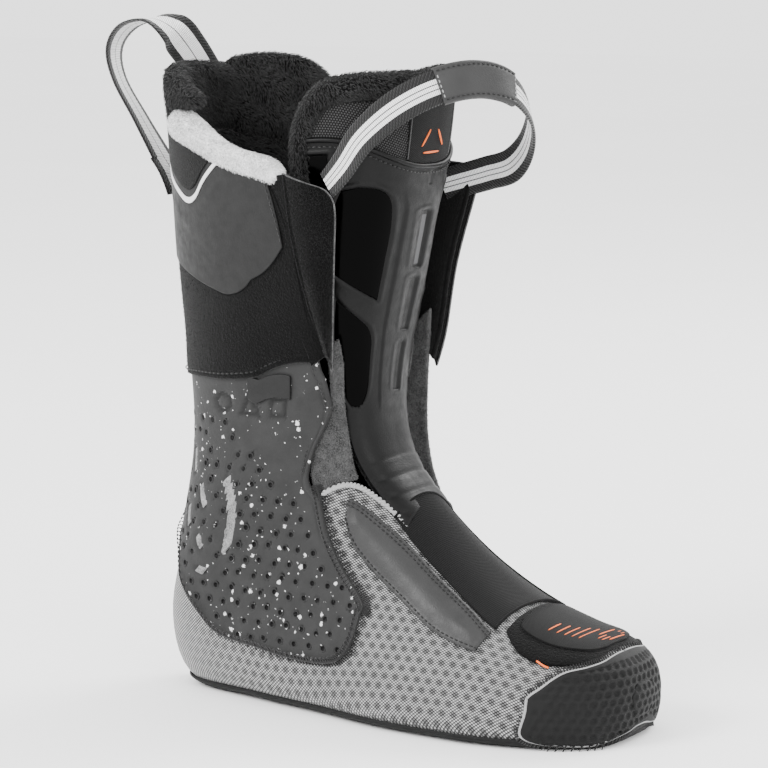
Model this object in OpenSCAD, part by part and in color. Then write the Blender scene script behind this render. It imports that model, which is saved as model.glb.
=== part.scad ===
// Right-foot inner boot (liner) of an alpine ski boot.
// Frame: +X towards the toe, +Y towards the inner side of the leg, +Z up, origin on the sole's flat underside.
// The walls are layers of one lofted surface. A point on it is [k, t]: k counts the cross-sections from
// the toe (0) to the cuff's top (17), and t runs once round a cross-section, from the instep or shin line
// (0) over the outer side (0.25) to the sole or calf line (0.5) and back over the inner side (0.75).
// A third number, off, moves the point outwards (+) or inwards (-) from that surface.

/* [Sole] */
// Thickness of the outsole plate
outsole_t = 2.2; // [1.6:0.1:2.4]
// Thickness of the insole board
board_t = 1.2; // [0.8:0.1:1.4]
// Thickness of the removable footbed
footbed_t = 3.5; // [2:0.5:6]

/* [Walls] */
// Thickness of the knitted upper
knit_t = 1.8; // [1:0.1:2]
// Thickness of the foam in the foot and ankle
foam_t = 3.8; // [2:0.1:4.4]
// Thickness of the inner lining
lining_t = 1.0; // [0.6:0.1:1.4]
// Thickness of the moulded ankle shell
shell_t = 2.0; // [1:0.1:3]
// Thickness of the fleece that wraps the cuff
wrap_t = 1.3; // [0.8:0.1:1.8]
// Thickness of the smooth yoke panel behind the cuff
yoke_t = 0.7; // [0.5:0.1:1]
// Thickness of the foam in the cuff's rear half
cuff_foam_t = 5.0; // [3:0.5:7]
// Thickness of the foam in the front flaps
flap_foam_t = 3.0; // [2:0.2:3.2]

/* [Tongue] */
// Thickness of the tongue's moulded shell
tongue_shell_t = 2.4; // [1.5:0.1:3]
// Thickness of the tongue's foam
tongue_foam_t = 6.0; // [3:0.5:7]
// Thickness of the plush that lines the tongue
tongue_plush_t = 1.8; // [1:0.1:2.5]

/* [Pull loops] */
// Width of the tongue's pull loop
tongue_strap_w = 18; // [14:1:20]
// Width of the rear pull loop
rear_strap_w = 22; // [16:1:24]
// Thickness of the webbing
strap_t = 1.6; // [1:0.1:2]

/* [Hidden] */

// Space between two layers of the same body: flat layers, curved thin skins, and layers with large facets
gap = 0.3;
skin_gap = 0.6;
nest_gap = 1.1;
// Layer boundaries, from the outside in
foam_out = -knit_t - nest_gap;
foam_in = foam_out - foam_t;
lining_out = foam_in - nest_gap;
lining_in = lining_out - lining_t;
cuff_lining_out = -cuff_foam_t - skin_gap;
cuff_lining_in = cuff_lining_out - lining_t;
flap_foam_out = -wrap_t - gap;
flap_foam_in = flap_foam_out - flap_foam_t;
flap_lining_out = flap_foam_in - gap;
flap_lining_in = flap_lining_out - lining_t;
tongue_foam_out = -tongue_shell_t - skin_gap;
tongue_foam_in = tongue_foam_out - tongue_foam_t;
tongue_plush_out = tongue_foam_in - skin_gap;
tongue_plush_in = tongue_plush_out - tongue_plush_t;
// Heights inside the foot
board_z = 10.2;
footbed_z = board_z + board_t + gap;
// How much of an inward offset the flat underside keeps
floor_share = 0.75;
// The toe's last sections move forwards and back with the wall's offset, and narrow less
toe_sections = 4;
tip_share = 0.4;
tip_sections = 2;
// First section of the tongue
tongue_k0 = 8.05;

// Cross-sections: front or top x, z; back or bottom x, z; outer half-width; inner half-width;
// roundness of the top; roundness of the bottom; how far the widest place leans to the bottom
SECTIONS = [
    [139, 30,  139,  14,   8, 17,  2.0, 2.2,  0.00],
    [137, 38,  137,   6,  17, 25,  2.3, 3.0,  0.00],
    [130, 44,  130,   1,  30, 34,  2.5, 5.0,  0.00],
    [118, 49,  118,   0,  40, 41,  2.6, 6.0,  0.00],
    [100, 54,  100,   0,  48, 45,  2.4, 6.0,  0.05],
    [ 74, 65,   74,   0,  52, 48,  2.2, 6.0,  0.12],
    [ 46, 85,   46,   0,  50, 45,  2.0, 6.0,  0.20],
    [ 22, 108,  12,   0,  46, 42,  2.0, 6.0,  0.26],
    [  4, 128, -30,   0,  42, 39,  2.2, 5.0,  0.20],
    [ -4, 144, -75,   0,  40, 38,  2.6, 4.0,  0.10],
    [ -6, 158, -124,  3,  37, 37,  3.0, 3.0,  0.00],
    [ -6, 172, -139, 34,  37, 37,  3.2, 2.6, -0.05],
    [ -4, 188, -131, 80,  38, 39,  3.4, 2.4, -0.08],
    [  0, 208, -122, 130,  39, 41,  3.6, 2.3, -0.10],
    [  5, 232, -123, 180,  44, 46,  3.8, 2.3, -0.14],
    [ 12, 268, -127, 240,  51, 53,  4.0, 2.3, -0.18],
    [ 18, 303, -130, 292,  56, 58,  4.0, 2.3, -0.22],
    [ 22, 338, -134, 338,  59, 61,  4.0, 2.3, -0.25]
];
// Half-width and side depth of the tongue at sections 7 to 17
TONGUE = [
    [25, 18], [25, 20], [26, 22], [27, 24], [28, 26], [30, 29],
    [35, 33], [41, 39], [47, 44], [50, 51], [50, 53]
];
tongue_roundness = 2.6;

// Catmull-Rom value of a table at a real-valued index
function clamp(v, low, high) = min(max(v, low), high);
function blend4(a, b, c, d, f) =
    0.5 * (2 * b + (c - a) * f + (2 * a - 5 * b + 4 * c - d) * f * f + (3 * b - a - 3 * c + d) * f * f * f);
function smooth_at(table, x) =
    let (last = len(table) - 1, i = clamp(floor(x), 0, last - 1))
    blend4(table[max(i - 1, 0)], table[i], table[i + 1], table[min(i + 2, last)], x - i);
function resample(points, n) = [for (i = [0:n]) smooth_at(points, i * (len(points) - 1) / n)];
function mix(a, b, f) = a + (b - a) * f;
function signed_pow(v, e) = sign(v) * pow(abs(v), e);
function unit(v) = v / norm(v);

// Lofted body surface
function toe_share(k) = clamp(1 - (k - 1) / toe_sections, 0, 1);
function side_share(k) = clamp(tip_share + (1 - tip_share) * k / tip_sections, 0, 1);
function floor_z(off) = outsole_t + gap + floor_share * max(0, -off);
function body_point(p, off) =
    let (
        q = smooth_at(SECTIONS, p[0]),
        along = unit([q[0] - q[2], q[1] - q[3]]),
        in_plane = off * side_share(p[0]),
        top = [q[0], q[1]] + along * in_plane,
        bottom = [q[2], q[3]] - along * in_plane,
        c = cos(360 * p[1]),
        s = sin(360 * p[1]),
        n = c > 0 ? q[6] : q[7],
        a = signed_pow(c, 2 / n),
        b = signed_pow(s, 2 / n),
        width = ((s > 0 ? q[4] : q[5]) + in_plane) * (1 - q[8] * a),
        middle = (top + bottom) / 2 + (top - bottom) / 2 * a
    )
    [middle[0] + off * toe_share(p[0]), -b * width, max(middle[1], floor_z(off))];

// Lofted tongue surface: p = [k, u], where u runs from 1 at the outer edge to -1 at the inner edge
function tongue_point(p, off) =
    let (
        q = smooth_at(SECTIONS, p[0]),
        w = smooth_at(TONGUE, p[0] - 7),
        along = unit([q[0] - q[2], q[1] - q[3]]),
        c = pow(cos(90 * clamp(p[1], -1, 1)), 2 / tongue_roundness),
        b = signed_pow(sin(90 * clamp(p[1], -1, 1)), 2 / tongue_roundness),
        middle = [q[0], q[1]] + along * (off - (w[1] + off) * (1 - c))
    )
    [middle[0], -b * (w[0] + off), middle[1]];

function surface_point(on_tongue, p, off) = on_tongue ? tongue_point(p, off) : body_point(p, off);

// Triangles of a grid of rows x cols points that starts at point index base
function grid_faces(rows, cols, base, flip) = [
    for (i = [0:rows - 2], j = [0:cols - 2], half = [0, 1])
        let (
            a = base + i * cols + j,
            tri = half == 0 ? [a, a + 1, a + cols + 1] : [a, a + cols + 1, a + cols]
        )
        flip ? [tri[2], tri[1], tri[0]] : tri
];
// The border of that grid, as point indices in one loop
function grid_border(rows, cols) = concat(
    [for (j = [0:cols - 2]) j],
    [for (i = [0:rows - 2]) i * cols + cols - 1],
    [for (j = [cols - 1:-1:1]) (rows - 1) * cols + j],
    [for (i = [rows - 1:-1:1]) i * cols]
);

// Faces of a thin closed solid: the grid of its outer face, then the grid of its inner face
function shell_faces(rows, cols) =
    let (size = rows * cols, border = grid_border(rows, cols), count = len(border))
    concat(
        grid_faces(rows, cols, 0, false),
        grid_faces(rows, cols, size, true),
        [
            for (i = [0:count - 1], half = [0, 1])
                let (a = border[i], b = border[(i + 1) % count])
                half == 0 ? [b, a, a + size] : [b, a + size, b + size]
        ]
    );
function turned_over(faces) = [for (f = faces) [f[2], f[1], f[0]]];

// A layer between two boundary curves, each a list of [k, t], with faces at off_out and off_in
module layer(from, to, rows, cols, off_out, off_in, on_tongue = false) {
    first = resample(from, rows - 1);
    last = resample(to, rows - 1);
    params = [for (i = [0:rows - 1], j = [0:cols - 1]) mix(first[i], last[i], j / (cols - 1))];
    faces = shell_faces(rows, cols);
    polyhedron(
        points = [for (off = [off_out, off_in], p = params) surface_point(on_tongue, p, off)],
        faces = cross_sign(params, rows, cols) > 0 ? turned_over(faces) : faces
    );
}
// Which way the grid turns in the [k, t] plane
function cross_sign(params, rows, cols) =
    let (
        a = params[cols - 1] - params[0],
        b = params[(rows - 1) * cols] - params[0],
        c = params[rows * cols - 1] - params[0]
    )
    a[0] * c[1] - a[1] * c[0] + c[0] * b[1] - c[1] * b[0];

function mirrored(points) = [for (p = points) [p[0], -p[1]]];

// A layer closed round the toe: rim lists [k, t] once round, and the sections run from the toe to it
module sock(rim, cols, rings, off_out, off_in) {
    edge = resample(concat(rim, [rim[0] + [0, 1]]), cols);
    params = [for (j = [0:rings], i = [0:cols - 1]) [edge[i][0] * j / rings, edge[i][1]]];
    size = len(params);
    tip = body_point([0, 0.25], 0);
    tip_z = 22;
    tip_y = 3;
    tip_bulge = 1;
    function ring_faces(base, flip) = [
        for (j = [0:rings - 1], i = [0:cols - 1], half = [0, 1])
            let (
                a = base + j * cols + i,
                b = base + j * cols + (i + 1) % cols,
                tri = half == 0 ? [a, b, b + cols] : [a, b + cols, a + cols]
            )
            flip ? [tri[2], tri[1], tri[0]] : tri
    ];
    function fan_faces(base, pole, flip) = [
        for (i = [0:cols - 1])
            let (tri = [pole, base + (i + 1) % cols, base + i])
            flip ? [tri[2], tri[1], tri[0]] : tri
    ];
    rim_faces = [
        for (i = [0:cols - 1], half = [0, 1])
            let (a = rings * cols + i, b = rings * cols + (i + 1) % cols)
            half == 0 ? [a, b, b + size] : [a, b + size, a + size]
    ];
    polyhedron(
        points = concat(
            [for (p = params) body_point(p, off_out)],
            [for (p = params) body_point(p, off_in)],
            [[tip[0] + tip_bulge + off_out, tip_y, tip_z], [tip[0] + tip_bulge + off_in, tip_y, tip_z]]
        ),
        faces = concat(
            ring_faces(0, false), fan_faces(0, 2 * size, false),
            ring_faces(size, true), fan_faces(size, 2 * size + 1, true),
            rim_faces
        )
    );
}

// A flat band swept through route, with sides giving the direction of its width at each point
module band(route, sides, steps, w, t, raise = 0) {
    path = resample(route, steps);
    across = resample(sides, steps);
    corners = [
        for (i = [0:steps])
            let (
                ahead = unit(path[min(i + 1, steps)] - path[max(i - 1, 0)]),
                side = unit(across[i] - ahead * (across[i] * ahead)),
                up = cross(ahead, side)
            )
            for (c = [[-1, -1], [1, -1], [1, 1], [-1, 1]])
                path[i] + side * c[0] * w / 2 + up * (raise + c[1] * t / 2)
    ];
    polyhedron(
        points = corners,
        faces = concat(
            [[0, 1, 2, 3], [4 * steps + 3, 4 * steps + 2, 4 * steps + 1, 4 * steps]],
            [
                for (i = [0:steps - 1], j = [0:3], half = [0, 1])
                    let (a = 4 * i + j, b = 4 * i + (j + 1) % 4)
                    half == 0 ? [a, a + 4, b + 4] : [a, b + 4, b]
            ]
        )
    );
}

// Outline of the foot, inset from the body's widest line, from the section k_first back to the heel
module foot_plate(inset, k_first, heel_back, z, t) {
    heel_x = -78;
    ks = [for (k = [k_first:0.5:9]) k];
    outer = [for (k = ks) let (q = smooth_at(SECTIONS, k)) [q[2], -max(q[4] - inset, 2)]];
    inner = [for (k = ks) let (q = smooth_at(SECTIONS, k)) [q[2], max(q[5] - inset, 2)]];
    half_w = 39 - inset;
    heel = [for (a = [-75:15:75]) [heel_x - (heel_x - heel_back) * cos(a), half_w * sin(a)]];
    points = concat(outer, heel, [for (i = [len(inner) - 1:-1:0]) inner[i]]);
    translate([0, 0, z])
        linear_extrude(t)
            polygon(points);
}

// ---- Foot ----
module outsole() {
    color("#3c3c40") foot_plate(7, 0.5, -118, 0, outsole_t);
}
module sole_board() {
    color("#8a7f6e") foot_plate(21, 3, -86, board_z, board_t);
}
module footbed() {
    color("#4a4f57") foot_plate(20, 3, -97, footbed_z, footbed_t);
}

// Rim of the knitted upper: round the toe, up both sides of the throat and round the heel
UPPER_RIM = [
    [5.2, 0], [5.2, 0.06], [5.6, 0.11], [8.0, 0.135], [9.2, 0.17], [10.2, 0.21], [11.5, 0.24], [12.5, 0.27],
    [12.7, 0.33], [12.9, 0.39], [13.0, 0.44], [13.0, 0.5], [13.0, 0.56], [12.9, 0.61], [12.7, 0.67],
    [12.5, 0.73], [11.5, 0.76], [10.2, 0.79], [9.2, 0.83], [8.0, 0.865], [5.6, 0.89], [5.2, 0.94]
];
// Rim of the foam and the lining below the cuff, which reach up to the cuff's foam
INNER_RIM = [
    [5.2, 0], [5.2, 0.06], [5.6, 0.11], [8.0, 0.145], [10.0, 0.16], [12.1, 0.175], [12.3, 0.22], [12.5, 0.27],
    [12.7, 0.33], [12.9, 0.39], [13.0, 0.44], [13.0, 0.5], [13.0, 0.56], [12.9, 0.61], [12.7, 0.67],
    [12.5, 0.73], [12.3, 0.78], [12.1, 0.825], [10.0, 0.84], [8.0, 0.855], [5.6, 0.89], [5.2, 0.94]
];
module lower_upper() {
    color("#a8a8aa") sock(UPPER_RIM, 32, 13, 0, -knit_t);
}
module lower_padding() {
    color("#d8d4c8") sock(INNER_RIM, 32, 13, foam_out, foam_in);
}
module lining() {
    color("#5c5e62") sock(INNER_RIM, 32, 13, lining_out, lining_in);
}

// Black cap over the front of the toe
TOE_CAP_RIM = [
    [2.0, 0], [2.1, 0.08], [2.5, 0.13], [3.1, 0.17], [3.6, 0.22], [4.0, 0.26], [4.0, 0.31], [3.4, 0.345],
    [1.6, 0.38], [0.8, 0.44], [0.6, 0.5], [0.8, 0.56], [1.6, 0.62], [3.4, 0.655], [4.0, 0.69], [4.0, 0.74],
    [3.6, 0.78], [3.1, 0.83], [2.5, 0.87], [2.1, 0.92]
];
module toe_cap() {
    color("#1e1e20") sock(TOE_CAP_RIM, 30, 5, 1.8, 0.8);
}
insert_out = nest_gap + 0.8;
TOE_INSERT_EDGE = [[4.75, 0.10], [4.3, 0.14], [3.7, 0.15], [3.0, 0.13], [2.4, 0.09]];
module toe_stretch_insert() {
    color("#26262a") layer(TOE_INSERT_EDGE, mirrored(TOE_INSERT_EDGE), 7, 9, insert_out, nest_gap);
}
TOE_LABEL_EDGE = [[4.55, 0.085], [4.0, 0.095], [3.4, 0.088], [2.7, 0.06]];
module toe_label_flap() {
    color("#4c4c50") layer(TOE_LABEL_EDGE, mirrored(TOE_LABEL_EDGE), 6, 7, insert_out + gap + 1.0, insert_out + gap);
}

ELASTIC_OUTER_EDGE = [[7.5, 0.112], [6.9, 0.118], [6.2, 0.113], [5.5, 0.116], [5.0, 0.122]];
ELASTIC_INNER_EDGE = [[7.1, -0.100], [6.7, -0.104], [6.0, -0.104], [5.5, -0.104], [4.9, -0.108]];
module instep_elastic() {
    color("#3a3a3e") layer(ELASTIC_OUTER_EDGE, ELASTIC_INNER_EDGE, 10, 9, nest_gap + 1.2, nest_gap);
}
panel_out = 3.4;
PANEL_TOP_EDGE = [[8.5, 0.159], [8.0, 0.143], [7.2, 0.131], [6.2, 0.122], [5.3, 0.124], [5.0, 0.140]];
PANEL_LOW_EDGE = [[8.4, 0.172], [8.0, 0.185], [7.5, 0.194], [6.8, 0.198], [6.1, 0.203], [5.3, 0.186]];
module instep_panel_outer() {
    color("#505056") layer(PANEL_TOP_EDGE, PANEL_LOW_EDGE, 10, 5, panel_out, nest_gap);
}
module instep_panel_inner() {
    color("#505056") layer(mirrored(PANEL_TOP_EDGE), mirrored(PANEL_LOW_EDGE), 10, 5, panel_out, nest_gap);
}

// ---- Ankle ----
SHELL_FRONT_EDGE = [
    [13.3, 0.212], [12.5, 0.193], [12.15, 0.165], [11.2, 0.142], [10.6, 0.172], [10.1, 0.188],
    [9.4, 0.186], [8.7, 0.205], [8.1, 0.220], [7.5, 0.234], [7.25, 0.248]
];
SHELL_REAR_EDGE = [
    [14.2, 0.497], [13.8, 0.497], [13.4, 0.497], [13.0, 0.497], [12.5, 0.497], [12.2, 0.46],
    [11.7, 0.39], [10.6, 0.327], [9.6, 0.305], [8.6, 0.290], [7.4, 0.258]
];
shell_out = nest_gap + shell_t;
module ankle_shell_outer() {
    color("#4a4a4e") layer(SHELL_FRONT_EDGE, SHELL_REAR_EDGE, 14, 11, shell_out, nest_gap);
}
module ankle_shell_inner() {
    color("#4a4a4e") layer(mirrored(SHELL_FRONT_EDGE), mirrored(SHELL_REAR_EDGE), 14, 11, shell_out, nest_gap);
}
GUSSET_REAR_EDGE = [[12.2, 0.152], [11.2, 0.137], [10.6, 0.165], [10.0, 0.180], [9.5, 0.178]];
GUSSET_FRONT_EDGE = [[12.2, 0.128], [11.2, 0.118], [10.4, 0.120], [9.6, 0.128], [8.9, 0.140]];
module ankle_gusset_outer() {
    color("#6e6e72") layer(GUSSET_REAR_EDGE, GUSSET_FRONT_EDGE, 9, 4, -0.1, -1.1);
}
module ankle_gusset_inner() {
    color("#6e6e72") layer(mirrored(GUSSET_REAR_EDGE), mirrored(GUSSET_FRONT_EDGE), 9, 4, -0.1, -1.1);
}
BINDING_TOP_EDGE = [[9.2, 0.179], [8.85, 0.154], [8.3, 0.134], [7.7, 0.119]];
BINDING_LOW_EDGE = [[9.0, 0.184], [8.75, 0.167], [8.15, 0.143], [7.55, 0.131]];
module throat_binding_outer() {
    color("#c8c8c8") layer(BINDING_TOP_EDGE, BINDING_LOW_EDGE, 8, 3, nest_gap + 1.0, nest_gap);
}
module throat_binding_inner() {
    color("#c8c8c8") layer(mirrored(BINDING_TOP_EDGE), mirrored(BINDING_LOW_EDGE), 8, 3, nest_gap + 1.0, nest_gap);
}

// Pale felt strips that show in the ankle shell's slits: start, middle, end and half-width in t
SLITS = [
    [[12.0, 0.280], [11.2, 0.257], [10.7, 0.268], 0.006],
    [[12.3, 0.340], [12.1, 0.330], [11.9, 0.318], 0.007],
    [[12.9, 0.392], [12.75, 0.385], [12.6, 0.378], 0.006],
    [[11.55, 0.322], [11.4, 0.314], [11.25, 0.306], 0.007],
    [[11.0, 0.312], [10.9, 0.305], [10.8, 0.298], 0.007],
    [[12.2, 0.376], [12.05, 0.370], [11.9, 0.362], 0.006]
];
slit_in = shell_out + 0.3;
slit_out = slit_in + 0.8;
module vent_slit_inserts() {
    color("#c0c0c0")
        for (s = SLITS, side = [1, -1]) {
            middle = [s[0], s[1], s[2]];
            edge_a = [for (p = middle) [p[0], side * (p[1] + s[3])]];
            edge_b = [for (p = middle) [p[0], side * (p[1] - s[3])]];
            layer(edge_a, edge_b, 5, 3, slit_out, slit_in);
        }
}
module size_tag() {
    color("#3e3e42")
        layer([[13.25, 0.258], [12.95, 0.258]], [[12.85, 0.226], [12.5, 0.226]], 3, 4, slit_out, slit_in);
}

// ---- Cuff ----
// The crease where the front flap leaves the cuff, from its foot to its top
CREASE = [[12.75, 0.187], [13.3, 0.204], [13.9, 0.219], [14.6, 0.235], [15.1, 0.242], [15.6, 0.246]];
crease_gap = 0.013;
CUFF_FOOT = [
    [12.75, 0.187], [13.0, 0.25], [13.2, 0.33], [13.4, 0.42], [13.45, 0.5],
    [13.4, 0.58], [13.2, 0.67], [13.0, 0.75], [12.75, 0.813]
];
CUFF_TOP = [
    [15.6, 0.246], [15.75, 0.28], [15.95, 0.34], [16.1, 0.43], [16.15, 0.5],
    [16.1, 0.57], [15.95, 0.66], [15.75, 0.72], [15.6, 0.754]
];
module cuff_foam() {
    color("#d0ccc0") layer(CUFF_FOOT, CUFF_TOP, 19, 8, 0, -cuff_foam_t);
}
module cuff_lining() {
    color("#3a3a3c") layer(CUFF_FOOT, CUFF_TOP, 17, 6, cuff_lining_out, cuff_lining_in);
}
// The wrap hangs over the ankle shell's top edge
WRAP_FOOT = [
    [12.8, 0.190], [13.3, 0.25], [13.7, 0.34], [13.85, 0.42], [13.9, 0.5],
    [13.85, 0.58], [13.7, 0.66], [13.3, 0.75], [12.8, 0.810]
];
wrap_in = shell_out + skin_gap;
wrap_out = wrap_in + wrap_t;
module cuff_wrap() {
    color("#2c2c30") layer(WRAP_FOOT, CUFF_TOP, 19, 7, wrap_out, wrap_in);
}
yoke_in = wrap_out + skin_gap;
yoke_out = yoke_in + yoke_t;
module cuff_yoke() {
    foot = [
        [14.75, 0.236], [14.5, 0.27], [14.65, 0.33], [14.9, 0.41], [15.0, 0.5],
        [14.9, 0.59], [14.65, 0.67], [14.5, 0.73], [14.75, 0.764]
    ];
    color("#66666a") layer(foot, CUFF_TOP, 19, 5, yoke_out, yoke_in);
}
patch_in = yoke_out + nest_gap;
module rear_patch() {
    color("#28282c")
        layer([[15.85, 0.31], [15.55, 0.37], [15.6, 0.5], [15.55, 0.63], [15.85, 0.69]],
              [[15.9, 0.33], [16.0, 0.40], [16.05, 0.5], [16.0, 0.60], [15.9, 0.67]],
              13, 3, patch_in + 0.7, patch_in);
}
module chevron_trim() {
    low = [[15.72, 0.290], [15.3, 0.345], [15.38, 0.42], [15.4, 0.5], [15.38, 0.58], [15.3, 0.655], [15.72, 0.71]];
    color("#e6e6e6")
        layer(low, [for (p = low) p + [0.06, 0]], 13, 2, patch_in + 0.5, patch_in);
}
// White fleece roll over the side of the rim
TRIM_FOOT = [[15.62, 0.243], [15.78, 0.28], [15.98, 0.34], [16.08, 0.40]];
TRIM_TOP = [[15.88, 0.243], [16.14, 0.28], [16.42, 0.34], [16.40, 0.40]];
trim_in = -cuff_foam_t - 0.5;
trim_out = 8;
module collar_trim_outer() {
    color("#f0f0ee") layer(TRIM_FOOT, TRIM_TOP, 9, 4, trim_out, trim_in);
}
module collar_trim_inner() {
    color("#f0f0ee") layer(mirrored(TRIM_FOOT), mirrored(TRIM_TOP), 9, 4, trim_out, trim_in);
}
// Plush that rolls over the rear of the rim
module collar_plush() {
    foot = [[16.44, 0.335], [16.45, 0.38], [16.44, 0.405], [16.14, 0.41], [16.15, 0.45], [16.18, 0.5],
            [16.15, 0.55], [16.14, 0.59], [16.44, 0.595], [16.45, 0.62], [16.44, 0.665]];
    top = [[16.52, 0.335], [16.68, 0.38], [16.74, 0.405], [16.80, 0.43], [16.84, 0.46], [16.87, 0.5],
           [16.84, 0.54], [16.80, 0.57], [16.74, 0.595], [16.68, 0.62], [16.52, 0.665]];
    color("#2e2e30") layer(foot, top, 21, 4, 6.0, -cuff_foam_t - 0.5);
}

// ---- Front flaps ----
// Front edges of the flaps, from the foot up. The inner flap reaches further forward.
FLAP_EDGE_OUTER = [[-18, -40, 182], [-14, -46, 214], [-10, -51, 241], [-6, -57, 268], [-11, -59, 277]];
FLAP_EDGE_INNER = [[-3, 41, 176], [1, 44, 195], [4, 50, 231], [11, 57, 268], [12, 60, 281]];
flap_bulge = 3;
module flap(side, off_out, off_in) {
    rows = 12;
    cols = 5;
    crease = resample([for (p = CREASE) body_point([p[0], side * (p[1] - crease_gap)], wrap_out)], rows - 1);
    edge = resample(side > 0 ? FLAP_EDGE_OUTER : FLAP_EDGE_INNER, rows - 1);
    function outwards(i) = -side * unit(cross(edge[i] - crease[i], [0, 0, -1]));
    function at(i, v, off) =
        mix(crease[i], edge[i], v) + outwards(i) * (off + 4 * flap_bulge * v * (1 - v));
    grid = [for (off = [off_out, off_in], i = [0:rows - 1], j = [0:cols - 1]) at(i, j / (cols - 1), off)];
    faces = shell_faces(rows, cols);
    polyhedron(points = grid, faces = side > 0 ? turned_over(faces) : faces);
}
module flap_foam_outer() {
    color("#d0ccc0") flap(1, flap_foam_out, flap_foam_in);
}
module flap_wrap_outer() {
    color("#2c2c30") flap(1, 0, -wrap_t);
}
module flap_lining_outer() {
    color("#5c5e62") flap(1, flap_lining_out, flap_lining_in);
}
module flap_foam_inner() {
    color("#d0ccc0") flap(-1, flap_foam_out, flap_foam_in);
}
module flap_wrap_inner() {
    color("#2c2c30") flap(-1, 0, -wrap_t);
}
module flap_lining_inner() {
    color("#5c5e62") flap(-1, flap_lining_out, flap_lining_in);
}

// ---- Tongue ----
// The tail stays with the foot; the tongue hinges on the line where the two meet
TAIL_EDGE = [[7.97, 0.120], [7.4, 0.104], [6.6, 0.094], [5.6, 0.090]];
function across(k, half) = [for (u = [half, half / 2, 0, -half / 2, -half]) [k, u]];
module tongue_tail_shell() {
    color("#4a4a4e") layer(TAIL_EDGE, mirrored(TAIL_EDGE), 8, 9, -0.2, -tongue_shell_t);
}
module tongue_tail_foam() {
    color("#d0ccc0") layer(TAIL_EDGE, mirrored(TAIL_EDGE), 8, 9, -tongue_shell_t - skin_gap, -6);
}
SHELL_TOP = [[16.0, 1], [16.05, 0.75], [15.75, 0.4], [15.5, 0], [15.75, -0.4], [16.05, -0.75], [16.0, -1]];
module tongue_shell() {
    color("#46464a") layer(across(tongue_k0, 1), SHELL_TOP, 15, 16, 0, -tongue_shell_t, true);
}
module tongue_mesh() {
    foot = [for (p = SHELL_TOP) p + [0.04, 0]];
    color("#303034") layer(foot, across(16.45, 1), 13, 4, -0.4, -tongue_shell_t, true);
}
module tongue_foam() {
    color("#d0ccc0") layer(across(tongue_k0, 1), across(16.45, 1), 15, 16, tongue_foam_out, tongue_foam_in, true);
}
module tongue_plush() {
    color("#303032")
        layer(across(tongue_k0, 0.98), across(16.45, 0.98), 15, 14, tongue_plush_out, tongue_plush_in, true);
}
module tongue_top_roll() {
    color("#303032") layer(across(16.49, 1), across(16.78, 0.97), 15, 3, 0.8, tongue_plush_in, true);
}
// Glossy plates on the shell's side: foot edge and top edge of each
WINDOWS = [
    [[[15.1, 0.86], [15.0, 0.62]], [[15.85, 0.86], [15.8, 0.66]]],
    [[[13.7, 0.92], [13.3, 0.70], [13.5, 0.36]], [[14.95, 0.90], [15.1, 0.60], [14.9, 0.30]]],
    [[[11.0, 0.92], [10.6, 0.60], [11.6, 0.34]], [[12.9, 0.92], [12.75, 0.62], [12.9, 0.36]]]
];
module tongue_windows(side) {
    for (w = WINDOWS) {
        foot = [for (p = w[0]) [p[0], side * p[1]]];
        top = [for (p = w[1]) [p[0], side * p[1]]];
        layer(foot, top, 5, 7, 1.0, 0.3, true);
    }
}
module tongue_windows_outer() {
    color("#101012") tongue_windows(1);
}
module tongue_windows_inner() {
    color("#101012") tongue_windows(-1);
}
SLOTS = [[14.05, 14.85], [12.6, 13.85], [10.9, 12.4]];
module tongue_slot_inserts() {
    color("#8c8c90")
        for (s = SLOTS)
            layer([[s[0], 0.035], [s[0], -0.035]], [[s[1], 0.035], [s[1], -0.035]], 3, 6, 0.8, 0.3, true);
}
module tongue_label() {
    color("#3a3a3e") layer(across(15.6, 0.17), across(16.35, 0.17), 4, 5, 0.8, 0.2, true);
}

// ---- Pull loops ----
TONGUE_LOOP = [
    [-4, -52, 288], [7, -51, 303], [23, -44, 318], [38, -29, 328], [50, -8, 331],
    [58, 12, 325], [58, 30, 311], [49, 43, 295], [36, 49, 283], [20, 51, 280]
];
// The band's faces look outwards and a little up, away from the middle of the loop
loop_middle = [5, 0, 0];
function band_sides(route, middle, lift) = [
    for (i = [0:len(route) - 1])
        let (
            ahead = route[min(i + 1, len(route) - 1)] - route[max(i - 1, 0)],
            away = [route[i][0] - middle[0], route[i][1] - middle[1], 0]
        )
        cross(unit(unit(away) + [0, 0, lift]), unit(ahead))
];
module tongue_loop_strap() {
    color("#d8d8d8")
        band(TONGUE_LOOP, band_sides(TONGUE_LOOP, loop_middle, 0.25), 24, tongue_strap_w, strap_t);
}
sleeve_points = [for (i = [3:0.25:5]) smooth_at(TONGUE_LOOP, i)];
module tongue_loop_sleeve() {
    // An outer and an inner leaf, one on each face of the strap
    leaf_t = 1.0;
    raise = (strap_t + leaf_t) / 2 + nest_gap;
    color("#4a4a4e")
        for (side = [1, -1])
            band(sleeve_points, band_sides(sleeve_points, loop_middle, 0.25), 8, tongue_strap_w + 2, leaf_t,
                 side * raise);
}
REAR_LOOP = [
    [-151, 0, 283], [-164, -1, 303], [-178, -1, 324], [-182, 0, 340], [-174, 1, 352], [-160, 1, 356],
    [-149, 2, 351]
];
REAR_SIDES = [
    [-0.1, 1, 0], [-0.25, 1, 0], [-0.3, 1, 0], [-0.2, 1, 0], [0, 1, 0], [0.25, 1, 0], [0.4, 1, 0]
];
module rear_loop_strap() {
    color("#e0e0e0") band(REAR_LOOP, REAR_SIDES, 20, rear_strap_w, strap_t);
}
REAR_BASE = [[-141, 0, 266], [-143.5, 0, 272], [-146.5, 0, 277]];
module rear_loop_base() {
    color("#e0e0e0") band(REAR_BASE, [for (p = REAR_BASE) [0, 1, 0]], 3, rear_strap_w, strap_t);
}

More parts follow.
